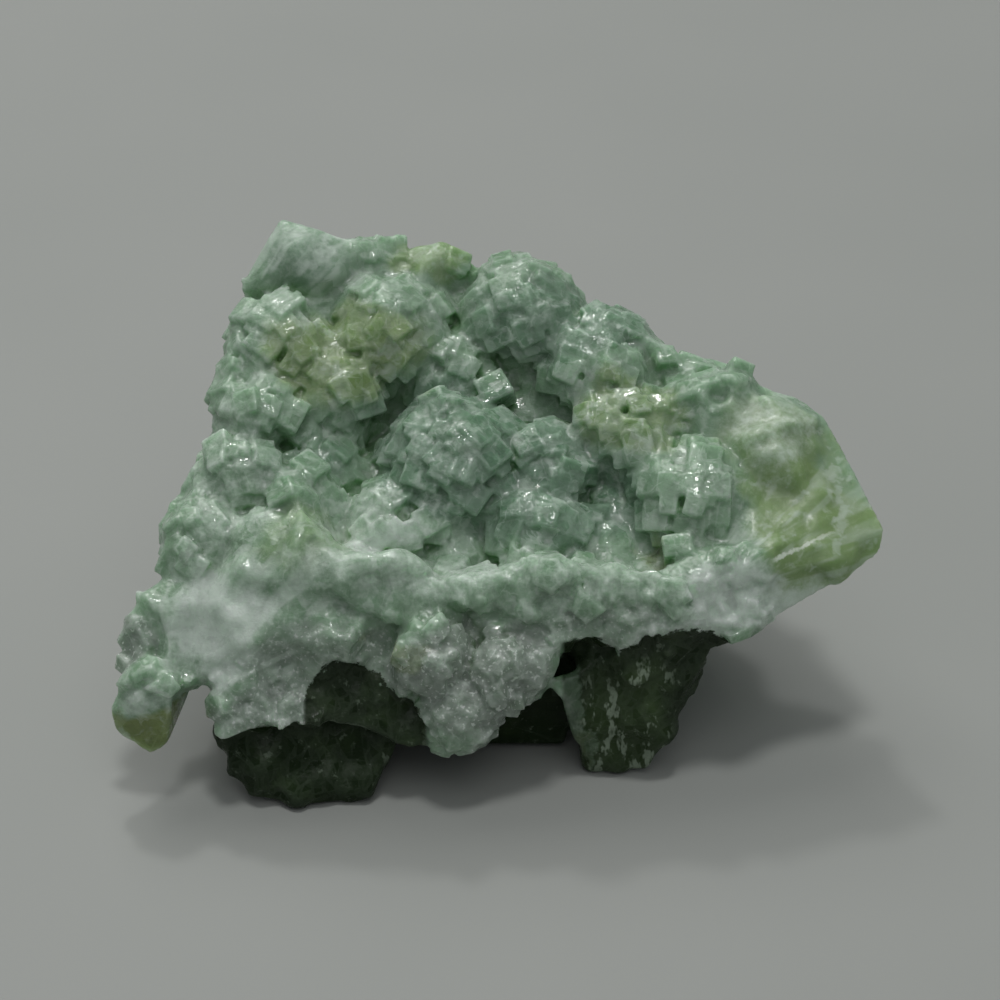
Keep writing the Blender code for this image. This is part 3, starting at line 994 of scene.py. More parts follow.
    def build(self, kit: CrystalKit) -> bpy.types.NodeTree:
        """Joins the tree's parts, fuses them and ends it.


        Returns:
            The finished tree.
        """
        crystals = kit.mosaics + kit.tablets
        parts = [
            self.inputs["Skin"], self.sprays(crystals), self.crust(crystals), self.flakes(kit.flakes),
            self.grains(kit.splinters),
        ]
        fused = self.node("GeometryNodeMeshBoolean", {"operation": "UNION", "solver": "MANIFOLD"}, {"Mesh 2": parts})
        real = self.node("GeometryNodeRealizeInstances", None, {0: fused.outputs["Mesh"]})
        values = {"Geometry": real.outputs[0], "Material": self.inputs["Finish"]}
        self.tree.links.new(self.node("GeometryNodeSetMaterial", None, values).outputs[0], self.outputs[0])
        return self.tree


@dataclass
class CrystalCoat:
    """The fine crystals of the hollow and the front, grown on the broken stone and fused with it."""

    lean: float = 0.09
    roll: float = 0.2
    crust_width: float = 1.9
    crust_spacing: float = 1.05
    flake_width: float = 2.4
    flake_spacing: float = 1.4
    grain_width: float = 0.9
    grains_per_mm2: float = 1.3
    jitter: float = 0.1
    swell: float = 0.9
    parallel: tuple[float, float] = (0.15, 0.45)
    seed: int = 5
    melt: float = 0.16
    melt_rounds: int = 1
    sharp_from: float = 50.0
    most_triangles: int = 190000
    spots: list[Vector] = field(default_factory=list)

    def places(self) -> bpy.types.Object:
        """Marks the root of each crystal as a loose point with its outward direction, turn and width."""
        dice = random.Random(self.seed)
        outs: list[Vector] = []
        widths: list[float] = []
        turns: list[float] = []
        for spray in SPRAYS:
            own_turn = dice.uniform(0, math.pi / 2)
            shared = dice.uniform(*self.parallel)
            lean = Vector((dice.uniform(-0.3, 0.3), dice.uniform(-0.3, 0.3), 0.0))
            for out in spray.directions(dice):
                rise = dice.uniform(-1.0, 1.0) * self.jitter * spray.crystal
                rise += self.swell * noise.noise(out * 1.4 + spray.centre)
                self.spots.append(spray.centre + out * (spray.radius + rise))
                loose = 1 - spray.order
                way = out * (1 - shared * spray.order) + (spray.axis + lean) * shared * spray.order
                way += Vector([dice.gauss(0, 0.3) * loose for _ in range(3)])
                outs.append(way.normalized())
                turns.append(own_turn + dice.uniform(-1.0, 1.0) * loose)
                widths.append(spray.crystal * (0.75 + 0.85 * dice.random() ** 1.8) * MM)
        for lone in LONE_CRYSTALS:
            self.spots.append(Vector(lone.root))
            outs.append(Vector(lone.facing).normalized())
            turns.append(lone.turn)
            widths.append(lone.width * MM)
        mesh = bpy.data.meshes.new("crystal_places")
        mesh.from_pydata([spot * MM for spot in self.spots], [], [])
        mesh.attributes.new("out", "FLOAT_VECTOR", "POINT").data.foreach_set("vector", np.array(outs).ravel())
        mesh.attributes.new("width", "FLOAT", "POINT").data.foreach_set("value", widths)
        mesh.attributes.new("turn", "FLOAT", "POINT").data.foreach_set("value", turns)
        obj = bpy.data.objects.new("crystal_places", mesh)
        bpy.context.scene.collection.objects.link(obj)
        LOG.info("crystal places: %d", len(self.spots))
        return obj

    def grown(self, stone: bpy.types.Object, finish: bpy.types.Material) -> bpy.types.Object:
        """Grows the crystals on the stone.

        Args:
            stone: The broken stone, which becomes the finished piece.
            finish: The material that the whole skin gets.

        Returns:
            The finished piece.
        """
        kit = CrystalKit()
        kit.build()
        places = self.places()
        growth = GrowthTree()
        tree = growth.build(kit)
        grow = stone.modifiers.new("growth", "NODES")
        grow.node_group = tree
        values = {
            "Places": places, "Crystals": kit.groups[Habit.CRYSTALS], "Flakes": kit.groups[Habit.FLAKES],
            "Grains": kit.groups[Habit.GRAINS], "Flake Width": self.flake_width * MM,
            "Flake Spacing": self.flake_spacing * MM,
            "Lean": self.lean, "Roll": self.roll, "Crust Width": self.crust_width * MM,
            "Crust Spacing": self.crust_spacing * MM, "Crust per m2": 2.0 / MM**2,
            "Grain Width": self.grain_width * MM, "Grains per m2": self.grains_per_mm2 / MM**2,
            "Seed": self.seed, "Finish": finish,
        }
        for name, value in values.items():
            grow[growth.sockets[name]] = value
        made_plain(stone)
        bpy.data.objects.remove(places)
        kit.clear()
        self.keep_outer_skin(stone)
        self.melted(stone)
        self.kept_light(stone)
        points = points_of(stone.data)
        points[:, 2] = np.maximum(points[:, 2], 0.0)
        set_points(stone.data, points)
        stone.data.shade_smooth()
        stone.data.set_sharp_from_angle(angle=math.radians(self.sharp_from))
        return stone

    def melted(self, obj: bpy.types.Object) -> None:
        """Melts the crystals' joints and edges softly together."""
        even = obj.modifiers.new("melt", "REMESH")
        even.mode = "VOXEL"
        even.voxel_size = self.melt * MM
        smooth = obj.modifiers.new("soften", "SMOOTH")
        smooth.factor = 0.5
        smooth.iterations = self.melt_rounds
        made_plain(obj)

    def kept_light(self, obj: bpy.types.Object) -> None:
        """Drops the least needed points where the skin has more triangles than it may."""
        count = sum(len(face.vertices) - 2 for face in obj.data.polygons)
        if count > self.most_triangles:
            fewer = obj.modifiers.new("fewer", "DECIMATE")
            fewer.ratio = self.most_triangles / count
            made_plain(obj)
        LOG.info("triangles: %d, at most %d kept", count, self.most_triangles)

    def keep_outer_skin(self, obj: bpy.types.Object) -> None:
        """Drops the closed pockets that the fused crystals leave inside the stone."""
        bm = bmesh.new()
        bm.from_mesh(obj.data)
        bm.faces.ensure_lookup_table()
        island = [-1] * len(bm.faces)
        areas: list[float] = []
        for first in bm.faces:
            if island[first.index] >= 0:
                continue
            island[first.index] = len(areas)
            waiting = [first]
            area = 0.0
            while waiting:
                face = waiting.pop()
                area += face.calc_area()
                for edge in face.edges:
                    for other in edge.link_faces:
                        if island[other.index] < 0:
                            island[other.index] = len(areas)
                            waiting.append(other)
            areas.append(area)
        keep = areas.index(max(areas))
        bmesh.ops.delete(bm, geom=[f for f in bm.faces if island[f.index] != keep], context="FACES")
        bm.to_mesh(obj.data)
        bm.free()
        LOG.info("outer skin: %d islands, %d faces kept", len(areas), len(obj.data.polygons))


class Mark(Enum):
    """The layers of the skin that the material reads."""

    # The dark root's share: partly the mineral's dark green, partly painted shade
    DARK = "dark"
    # Frosty white, partly painted light that brightens front faces the lamps leave dark
    FROST_AND_PAINTED_LIGHT = "frost"
    APPLE = "apple"
    SEA = "sea"
    ASH = "ash"
    OLIVE = "olive"
    # Painted shade: how closed in the skin is, which darkens the crevices
    CREVICE_SHADE = "deep"
    SPECK = "speck"
    FIN = "fin"
    CALM = "calm"


@dataclass
class SkinMarks:
    """Where on the stone each tone of the mineral shows, and where painted shade and painted light go, kept as layers
    on the finished skin.
    """

    wander: float = 1.6
    wander_seed: int = 11
    rays: int = 14
    shelter: float = 2.4
    regions: dict[Mark, tuple[Place, ...]] = field(default_factory=lambda: {
        Mark.SEA: (
            Place((-3, -1.5, 21), (9, 6.5, 5), 0.9),
            Place((5, 7, 27), (8, 4.5, 3.5), 0.7),
            Place((4, -5, 18), (9, 4, 4), 0.8),
            Place((-16, -2, 20), (5, 4, 3), 0.4),
            Place((-15, 10.5, 31), (3.5, 3, 3), 0.5),
        ),
        Mark.APPLE: (
            Place((-11.5, 4, 26), (6.5, 4.5, 4), 0.9),
            Place((-4.5, 12, 30), (3, 2.5, 2.5), 0.7),
            Place((10, 0, 22.5), (5, 3, 4), 0.6),
            Place((21.5, -3, 22), (5, 5, 4), 0.7),
            Place((25, -8, 17), (6, 5, 5), 1.0),
            Place((-14, -9.5, 17.5), (5, 3, 3), 0.45),
        ),
        # Frosty white breaks and the white spot; the places on the left side, on the right rim and under the wing are
        # painted light that brightens front faces the lamps leave dark
        Mark.FROST_AND_PAINTED_LIGHT: (
            Place((-7, -11, 16.5), (8, 3.5, 2.5), 0.5),
            Place((-9, -7.5, 17.5), (3.5, 2.5, 2), 0.5),
            Place((-20.5, -13.5, 12.5), (4.8, 4, 4), 0.9),
            Place((-18, -18, 7.8), (5, 2, 1.2), 0.3),
            Place((-26.5, -16.5, 9), (2.5, 2.5, 1.8), 0.5),
            Place((8, -12, 16), (9, 3, 2.5), 0.35),
            Place((13, -14.5, 12), (5, 2.5, 2), 0.6),
            Place((22, -11.5, 13.5), (5, 3, 2.5), 0.75),
            Place((-21, -3, 20.5), (4, 6, 4), 0.3),
            Place((-19.5, -9, 16.5), (5, 3, 3), 0.35),
            Place((16.6, -12.8, 15), (3, 2.2, 2.8), 1.6),
            Place((-17.5, 6, 27.5), (4, 4, 2.5), 0.25),
            Place((-15, 10.5, 31.5), (4, 4, 2), 0.4),
            Place((-4.5, 12.5, 30.3), (2.5, 2, 1.5), 0.15),
            Place((21.5, -3, 23), (5, 5, 3), 0.45),
        ),
        Mark.ASH: (
            Place((-1.5, -17, 10), (6, 4, 6), 0.9),
            Place((-13, -16, 11), (8, 3, 3), 0.6),
            Place((-17, -18, 7.5), (6, 2, 1.6), 0.7),
            Place((-28, -13.3, 11), (2, 3, 2.5), 0.9),
            Place((7, -14.5, 13), (6, 2, 2), 0.5),
            Place((10, 13, 18), (7, 5, 4), 0.6),
            Place((-8, 15, 20), (6, 4, 5), 0.5),
        ),
        # The dark root: partly the mineral's dark green, partly painted shade on the underside, at the back, over the
        # dark wall under the arch and in the pit
        Mark.DARK: (
            Place((-14.5, -13, 1.0), (9.5, 7, 4.0), 1.0),
            Place((10.5, -10, 4), (7, 6, 5.6), 1.0),
            Place((-2, -8, 3), (8, 8, 6), 0.9),
            Place((1, -12.5, 1.5), (7, 3, 4), 1.0),
            Place((-2, 4, 1), (17, 14, 6), 0.75),
            Place((4, 14, 8), (11, 5, 5), 0.62),
            Place((-14, 14, 12), (5, 5, 6), 0.5),
            Place((11.6, -8.7, 15.0), (1.3, 1.2, 2.0), 0.4),
        ),
        Mark.SPECK: (
            Place((10.0, -15.8, 4.5), (3.6, 3, 5.5), 1.0),
            Place((-7.5, -18.5, 3.5), (2.5, 2, 1.6), 0.8),
            Place((-3.5, -18.5, 7.0), (3.5, 2, 2.5), 0.7),
        ),
        Mark.CALM: (
            Place((25, -7.5, 17), (8, 7, 5), 1.0),
            Place((21.5, -2, 22.5), (6.5, 6, 4), 0.8),
            Place((-15, 10.5, 30.5), (4.5, 4, 4), 0.9),
            Place((-4.4, 12.6, 29.9), (3, 3, 3), 0.8),
            Place((-20, -13.5, 13), (6, 4, 4), 0.5),
            Place((-7, -11.5, 16.5), (8, 4, 2.5), 0.4),
        ),
        Mark.FIN: (
            Place((5.9, -15.8, 6.8), (1.0, 2.2, 3.4), 1.0),
            Place((7.2, -16.3, 2.4), (0.8, 2.0, 2.0), 0.7),
        ),
        Mark.OLIVE: (
            Place((0, 13, 12), (16, 6, 4), 0.5),
            Place((-18, 13, 18), (4, 5, 5), 0.4),
            Place((-24, 2, 12), (5, 7, 6), 0.35),
            Place((-7.6, -16.5, 12.3), (2.4, 1.6, 1.0), 0.5),
            Place((-24, -17.2, 6.2), (3, 2.5, 1.2), 0.8),
            Place((-27.2, -16.6, 4.8), (3.6, 4, 2.6), 1.0),
            Place((-11.5, 4, 26), (6.5, 4.5, 4), 0.25),
            Place((10, 0, 22.5), (4.5, 3, 3), 0.3),
            Place((6.5, -15.5, 2.5), (1.2, 2, 3), 0.5),
            Place((11.6, -8.7, 15.2), (1.6, 1.4, 2.4), 0.6),
        ),
    })

    def wandered(self, points: np.ndarray) -> np.ndarray:
        """The points, shifted by smooth noise so that the regions' borders meander."""
        noise.seed_set(self.wander_seed)
        away = np.array([noise.noise_vector(Vector(point) / 4.0) for point in points])
        near = np.array([noise.noise_vector(Vector(point) / 1.3) for point in points])
        return points + self.wander * (away + 0.45 * near)

    def sheltered(self, mesh: bpy.types.Mesh, points: np.ndarray, normals: np.ndarray) -> np.ndarray:
        """How closed in each point is from outside; the material paints shade into the crevices from this share.

        Args:
            mesh: The finished skin.
            points: Its points, in millimetres.
            normals: Its vertex normals.

        Returns:
            A share from 0 to 1 for each point.
        """
        mesh.calc_loop_triangles()
        faces = np.empty(len(mesh.loop_triangles) * 3, np.int32)
        mesh.loop_triangles.foreach_get("vertices", faces)
        tree = bvhtree.BVHTree.FromPolygons(points.tolist(), faces.reshape(-1, 3).tolist())
        dice = np.random.default_rng(3)
        spread = dice.normal(0, 1, (self.rays, 3))
        spread /= np.linalg.norm(spread, axis=1)[:, None]
        shut = np.zeros(len(points))
        for i, (point, normal) in enumerate(zip(points, normals)):
            start = Vector(point + normal * 0.02)
            for ray in spread:
                hit = tree.ray_cast(start, Vector(normal * 1.05 + ray), self.shelter)[3]
                if hit is not None:
                    shut[i] += 1 - 0.5 * hit / self.shelter
        return shut / self.rays

    def nearest_tone(self, mesh: bpy.types.Mesh, spots: list[Vector]) -> None:
        """Gives the faces of each crystal a tone and a gloss of their own."""
        dice = np.random.default_rng(8)
        tones = dice.normal(0, 0.5, len(spots))
        gloss = dice.uniform(0, 1, len(spots))
        tree = kdtree.KDTree(len(spots))
        for i, spot in enumerate(spots):
            tree.insert(spot, i)
        tree.balance()
        centres = np.empty(len(mesh.polygons) * 3, np.float32)
        mesh.polygons.foreach_get("center", centres)
        centres = centres.reshape(-1, 3) / MM
        found = [tree.find(centre) for centre in centres]
        index = np.array([item[1] for item in found])
        close = np.array([item[2] for item in found]) < 2.4
        areas = np.empty(len(mesh.polygons), np.float32)
        mesh.polygons.foreach_get("area", areas)
        layers = {
            "tone": np.where(close, tones[index], 0.0),
            "gloss": np.where(close, gloss[index], 0.2),
            # Tiny faces, mostly the crystals' bevelled edges, which the material paints pale, partly as frost and
            # partly as painted highlight
            "sliver": np.clip(1 - areas / MM**2 / 0.16, 0, 1),
        }
        for name, values in layers.items():
            layer = mesh.attributes.new(name, "FLOAT", "FACE")
            layer.data.foreach_set("value", values.astype(np.float32))

    def apply(self, piece: bpy.types.Object, spots: list[Vector]) -> None:
        """Stores every layer on the finished skin.

        Args:
            piece: The finished piece.
            spots: Where the sprays' crystals stand, in millimetres.
        """
        mesh = piece.data
        points, normals = points_of(mesh), normals_of(mesh)
        where = self.wandered(points)
        layers = {
            mark: np.clip(sum(place.inside(where) for place in places), 0, 1) for mark, places in self.regions.items()
        }
        # The closed-in share, used for painted shade in the crevices
        layers[Mark.CREVICE_SHADE] = self.sheltered(mesh, points, normals)
        for mark, values in layers.items():
            layer = mesh.attributes.new(mark.value, "FLOAT", "POINT")
            layer.data.foreach_set("value", values.astype(np.float32))
        self.nearest_tone(mesh, spots)
        LOG.info("skin marks: %d points", len(points))


class Signal:
    """A shader socket that takes part in plain arithmetic."""

    def __init__(self, sheet: "ShaderSheet", socket: bpy.types.NodeSocket) -> None:
        """Wraps a socket of a sheet's node tree."""
        self.sheet = sheet
        self.socket = socket

    def _math(self, operation: str, first: object, second: object = 0.0, clamp: bool = False) -> "Signal":
        """Adds a Math node on two signals or numbers."""
        settings = {"operation": operation, "use_clamp": clamp}
        return self.sheet.out(self.sheet.node("ShaderNodeMath", settings, {0: first, 1: second}))

    def __add__(self, other: object) -> "Signal":
        """This plus another."""
        return self._math("ADD", self, other)

    def __radd__(self, other: object) -> "Signal":
        """A number plus this."""
        return self._math("ADD", other, self)

    def __sub__(self, other: object) -> "Signal":
        """This minus another."""
        return self._math("SUBTRACT", self, other)

    def __rsub__(self, other: object) -> "Signal":
        """A number minus this."""
        return self._math("SUBTRACT", other, self)

    def __mul__(self, other: object) -> "Signal":
        """This times another."""
        return self._math("MULTIPLY", self, other)

    def __rmul__(self, other: object) -> "Signal":
        """A number times this."""
        return self._math("MULTIPLY", other, self)

    def clamped(self) -> "Signal":
        """This, kept between 0 and 1."""
        return self._math("ADD", self, 0.0, clamp=True)

    def power(self, exponent: float) -> "Signal":
        """This, raised to a power."""
        return self._math("POWER", self, exponent)


class ShaderSheet:
    """A material's node tree, with one method that adds any node."""

    def __init__(self, name: str) -> None:
        """Starts a material with an empty Principled shader."""
        self.material = bpy.data.materials.new(name)
        self.material.use_nodes = True
        self.tree = self.material.node_tree
        self.shader = self.tree.nodes["Principled BSDF"]

    def node(self, kind: str, settings: dict | None = None, values: dict | None = None) -> bpy.types.Node:
        """Adds a node.

        Args:
            kind: The node's type.
            settings: Properties that are set first, such as a Math node's operation.
            values: What each input socket gets, a value, a signal or a socket, by name or number.

        Returns:
            The node.
        """
        made = self.tree.nodes.new(kind)
        for name, value in (settings or {}).items():
            setattr(made, name, value)
        for key, value in (values or {}).items():
            self.feed(made.inputs[key], value)
        return made

    def feed(self, socket: bpy.types.NodeSocket, value: object) -> None:
        """Links a signal or a socket to an input, or sets the input's value."""
        source = value.socket if isinstance(value, Signal) else value
        if isinstance(source, bpy.types.NodeSocket):
            self.tree.links.new(source, socket)
        else:
            socket.default_value = source

    def out(self, node: bpy.types.Node, which: int | str = 0) -> Signal:
        """One of a node's outputs as a signal."""
        return Signal(self, node.outputs[which])

    def noise(self, vector: object, per_mm: float, detail: float = 3.0, roughness: float = 0.55) -> Signal:
        """Smooth noise from 0 to 1.

        Args:
            vector: Where it is read, in millimetres.
            per_mm: How many swells a millimetre holds.
            detail: How many finer layers it has.
            roughness: How strong the finer layers are.

        Returns:
            The noise.
        """
        values = {"Vector": vector, "Scale": per_mm, "Detail": detail, "Roughness": roughness}
        return self.out(self.node("ShaderNodeTexNoise", None, values), "Fac")

    def ramped(self, signal: object, low: float, high: float) -> Signal:
        """A signal turned into a soft step from 0 at low to 1 at high."""
        values = {"Value": signal, "From Min": low, "From Max": high, "To Min": 0.0, "To Max": 1.0}
        return self.out(self.node("ShaderNodeMapRange", {"interpolation_type": "SMOOTHSTEP"}, values), "Result")

    def mixed(self, first: object, second: object, share: object) -> bpy.types.NodeSocket:
        """Two colours mixed, by the share of the second."""
        values = {"Factor": share, 6: first, 7: second}
        return self.node("ShaderNodeMix", {"data_type": "RGBA"}, values).outputs[2]


class Tone(Enum):
    """The mineral's colours, linear, from the clearest green to the frosty breaks, which also paint light onto front
    faces, and the dark root, which is partly painted shade.
    """

    MINT = (0.24, 0.37, 0.245)
    SEA = (0.14, 0.25, 0.16)
    APPLE = (0.225, 0.34, 0.132)
    # Frosty white, also painted on front faces as light that the lamps do not give them
    FROST_AND_PAINTED_LIGHT = (0.56, 0.65, 0.57)
    ASH = (0.25, 0.30, 0.25)
    # The dark root, partly painted shade
    DARK = (0.008, 0.017, 0.004)
    OLIVE = (0.20, 0.26, 0.085)

    @property
    def rgba(self) -> tuple[float, float, float, float]:
        """The colour with full alpha."""
        return (*self.value, 1.0)


@dataclass(frozen=True)
class PrehniteFinish:
    """Cloudy translucent mineral, glossy on crystal faces and frosty where it is broken."""

    scatter: tuple[float, float, float] = (0.8, 1.0, 0.8)
    scatter_mm: float = 2.8
    scatter_share: float = 0.85
    refraction: float = 1.62
    crack_line: tuple[tuple[float, float, float], ...] = ((20.6, -10.9, 16.6), (29.0, -6.2, 18.2))
    streaks: tuple[Fan, ...] = (
        Fan((-24.0, -18.0, 8.0), Place((-19.5, -13, 13.5), (8, 6, 5)), 0.6, 9.0),
        Fan((-8.0, -12.0, 12.0), Place((-9, -9, 17.5), (5, 5, 3)), 0.5, 9.0),
        Fan((-24.0, 6.0, 20.0), Place((-15, 10.5, 30.5), (5, 4, 4)), 0.6, 16.0),
        Fan((15.5, -12.5, 14.0), Place((24, -8, 17), (9, 7, 6)), 0.35, 14.0),
        Fan((16.0, -13.0, 16.0), Place((16.6, -12.8, 15), (3, 3, 3)), 0.8, 8.0),
    )

    def layer(self, sheet: ShaderSheet, name: str) -> Signal:
        """One of the skin's layers."""
        return sheet.out(sheet.node("ShaderNodeAttribute", {"attribute_name": name}), "Fac")

    def multiplied(self, sheet: ShaderSheet, colour: object, by: tuple, share: object) -> bpy.types.NodeSocket:
        """A colour multiplied by another, by a share."""
        settings = {"data_type": "RGBA", "blend_type": "MULTIPLY"}
        return sheet.node("ShaderNodeMix", settings, {"Factor": share, 6: colour, 7: by}).outputs[2]

    def under(self, sheet: ShaderSheet, at: object, ledge: Ledge, ragged: Signal) -> Signal:
        """Where the front of the stone lies below a ledge, from 0 to 1.

        Args:
            sheet: The material's sheet.
            at: The place, in millimetres.
            ledge: The ledge, whose edge goes from left to right.
            ragged: How far the border moves up or down, in millimetres.

        Returns:
            The share.
        """
        x0, x1 = ledge.edge[0][0], ledge.edge[-1][0]
        apart = sheet.node("ShaderNodeSeparateXYZ", None, {0: at})
        x, y, z = (sheet.out(apart, i) for i in range(3))
        along = (x - x0) * (1 / (x1 - x0))
        line = sheet.node("ShaderNodeValToRGB", None, {0: along})
        for i, (stop_x, _, stop_z) in enumerate(ledge.edge):
            place = (stop_x - x0) / (x1 - x0)
            stop = line.color_ramp.elements[i] if i < 2 else line.color_ramp.elements.new(place)
            stop.position = place
            stop.color = (stop_z / 20, stop_z / 20, stop_z / 20, 1.0)
        height = sheet.out(sheet.node("ShaderNodeSeparateColor", None, {0: line.outputs[0]}), 0) * 20
        ends = sheet.ramped(x, x0, x0 + 0.5) * sheet.ramped(x, x1, x1 - 0.5)
        return sheet.ramped(height - z + ragged, -0.05, 0.25) * ends * sheet.ramped(y, -9.0, -11.0)

    def crack(self, sheet: ShaderSheet, at: object, ragged: Signal) -> Signal:
        """The thin pale crack across the wing, from 0 to 1."""
        start, end = (Vector(place) for place in self.crack_line)
        along = (end - start).normalized()
        arm = sheet.node("ShaderNodeVectorMath", {"operation": "SUBTRACT"}, {0: at, 1: tuple(start)}).outputs[0]
        off = sheet.node("ShaderNodeVectorMath", {"operation": "CROSS_PRODUCT"}, {0: arm, 1: tuple(along)})
        away = sheet.node("ShaderNodeVectorMath", {"operation": "LENGTH"}, {0: off.outputs[0]})
        share = sheet.node("ShaderNodeVectorMath", {"operation": "DOT_PRODUCT"}, {0: arm, 1: tuple(along)})
        reach = sheet.out(share, "Value")
        line = sheet.ramped(sheet.out(away, "Value") + ragged * 0.6, 0.24, 0.08)
        return line * sheet.ramped(reach, -0.3, 0.6) * sheet.ramped(reach, (end - start).length, 0.0)

    def streaked(self, sheet: ShaderSheet, at: object, streak: Fan) -> Signal:
        """White feathery lines that spread from a point, from 0 to the streak's height."""
        shift = sheet.node("ShaderNodeVectorMath", {"operation": "SUBTRACT"}, {0: at, 1: streak.centre})
        ray = sheet.node("ShaderNodeVectorMath", {"operation": "NORMALIZE"}, {0: shift.outputs[0]})
        lines = sheet.ramped(sheet.noise(ray.outputs[0], streak.ribs, 1.0, 0.6), 0.48, 0.66)
        middle = sheet.node("ShaderNodeVectorMath", {"operation": "SUBTRACT"}, {0: at, 1: streak.place.centre})
        size = tuple(1 / half for half in streak.place.half)
        share = sheet.node("ShaderNodeVectorMath", {"operation": "MULTIPLY"}, {0: middle.outputs[0], 1: size})
        away = sheet.node("ShaderNodeVectorMath", {"operation": "LENGTH"}, {0: share.outputs[0]}).outputs["Value"]
        return lines * sheet.ramped(away, 1.2, 0.7) * streak.height

    def scaled(self, sheet: ShaderSheet, vector: object, by: object) -> bpy.types.NodeSocket:
        """A vector or colour times a number."""
        return sheet.node("ShaderNodeVectorMath", {"operation": "SCALE"}, {0: vector, "Scale": by}).outputs[0]

    def cells(self, sheet: ShaderSheet, at: object, per_mm: float) -> Signal:
        """A value of its own for each small cell of the mineral, from 0 to 1."""
        made = sheet.node("ShaderNodeTexVoronoi", {"feature": "F1"}, {"Vector": at, "Scale": per_mm})
        return sheet.out(sheet.node("ShaderNodeSeparateColor", None, {0: made.outputs["Color"]}), 0)

    def facets(self, sheet: ShaderSheet, at: object, per_mm: float) -> tuple[Signal, Signal]:
        """Small square-edged blocks, as cleavage leaves them.

        Args:
            sheet: The material's sheet.
            at: The place, in millimetres.
            per_mm: How many blocks a millimetre holds.

        Returns:
            A value of its own for each block from 0 to 1, and the height of its tipped face in millimetres.
        """
        turned = sheet.node("ShaderNodeMapping", None, {"Vector": at, "Rotation": (0.5, 0.35, 0.7)}).outputs[0]
        settings = {"feature": "F1", "distance": "CHEBYCHEV"}
        made = sheet.node("ShaderNodeTexVoronoi", settings, {"Vector": turned, "Scale": per_mm})
        values = {0: made.outputs["Color"], 1: (0.5, 0.5, 0.5)}
        tip = sheet.node("ShaderNodeVectorMath", {"operation": "SUBTRACT"}, values).outputs[0]
        values = {0: turned, 1: made.outputs["Position"]}
        arm = sheet.node("ShaderNodeVectorMath", {"operation": "SUBTRACT"}, values).outputs[0]
        slope = sheet.out(sheet.node("ShaderNodeVectorMath", {"operation": "DOT_PRODUCT"}, {0: tip, 1: arm}), "Value")
        return sheet.out(sheet.node("ShaderNodeSeparateColor", None, {0: made.outputs["Color"]}), 0), slope

    def veins(self, sheet: ShaderSheet, at: object, per_mm: float, width: float) -> Signal:
        """Thin lines along the borders of cells, from 0 beside them to 1 on them."""
        values = {"Vector": at, "Scale": per_mm}
        made = sheet.node("ShaderNodeTexVoronoi", {"feature": "DISTANCE_TO_EDGE"}, values)
        return sheet.ramped(sheet.out(made, "Distance"), width, 0.0)

    def warped(self, sheet: ShaderSheet, at: object) -> bpy.types.NodeSocket:
        """The place, bent by noise so that cells and veins aren't straight."""
        bend = sheet.node("ShaderNodeTexNoise", None, {"Vector": at, "Scale": 0.9, "Detail": 3.0})
        centred = sheet.node(
            "ShaderNodeVectorMath", {"operation": "SUBTRACT"}, {0: bend.outputs["Color"], 1: (0.5, 0.5, 0.5)},
        )
        shift = self.scaled(sheet, centred.outputs[0], 1.6)
        return sheet.node("ShaderNodeVectorMath", {"operation": "ADD"}, {0: at, 1: shift}).outputs[0]

    def colour(self, sheet: ShaderSheet, at: object, own: Signal) -> bpy.types.NodeSocket:
        """The stone's colour: the regions, cloudy mottling, veins, painted shade in deep crevices, and pale edges that
        are partly frost and partly painted highlight.

        Args:
            sheet: The material's sheet.
            at: The place, in millimetres.
            own: A value of its own for each small block.

        Returns:
            The colour.
        """
        fine = sheet.noise(at, 1.6, 3.0, 0.65) - 0.5
        bent = self.warped(sheet, at)
        colour: object = Tone.MINT.rgba
        # The frost layer also paints light onto front faces that the lamps leave dark
        for mark, tone, ragged in (
            (Mark.SEA, Tone.SEA, 0.5), (Mark.APPLE, Tone.APPLE, 0.4), (Mark.ASH, Tone.ASH, 0.8),
            (Mark.FROST_AND_PAINTED_LIGHT, Tone.FROST_AND_PAINTED_LIGHT, 0.9), (Mark.OLIVE, Tone.OLIVE, 0.4),
        ):
            share = self.layer(sheet, mark.value) + fine * ragged
            colour = sheet.mixed(colour, tone.rgba, sheet.ramped(share, 0.05, 0.95))
        cloud = sheet.ramped(sheet.noise(bent, 0.6, 2.0, 0.65), 0.52, 0.68)
        colour = sheet.mixed(colour, Tone.FROST_AND_PAINTED_LIGHT.rgba, cloud * 0.45)
        mottle = 0.20 * self.cells(sheet, bent, 0.8) + 0.14 * own + 0.5 * fine - 0.17
        busy = 1 - 0.75 * self.layer(sheet, Mark.CALM.value)
        shade = 0.97 + mottle * busy
        for streak in self.streaks:
            colour = sheet.mixed(colour, Tone.FROST_AND_PAINTED_LIGHT.rgba, self.streaked(sheet, at, streak))
        colour = self.scaled(sheet, colour, shade)
        tone = self.layer(sheet, "tone")
        colour = sheet.mixed(colour, Tone.FROST_AND_PAINTED_LIGHT.rgba, (tone * 0.25).clamped())
        colour = self.multiplied(sheet, colour, (0.72, 0.84, 0.70, 1.0), (tone * -0.4).clamped())
        # Painted shade: crevices and closed-in places are darkened and made greener
        deep = sheet.ramped(self.layer(sheet, Mark.CREVICE_SHADE.value), 0.12, 0.75)
        colour = self.multiplied(sheet, colour, (0.66, 0.85, 0.58, 1.0), deep)
        lines = self.veins(sheet, bent, 0.45, 0.05)
        broken = sheet.ramped(sheet.noise(at, 0.8, 2.0), 0.45, 0.62)
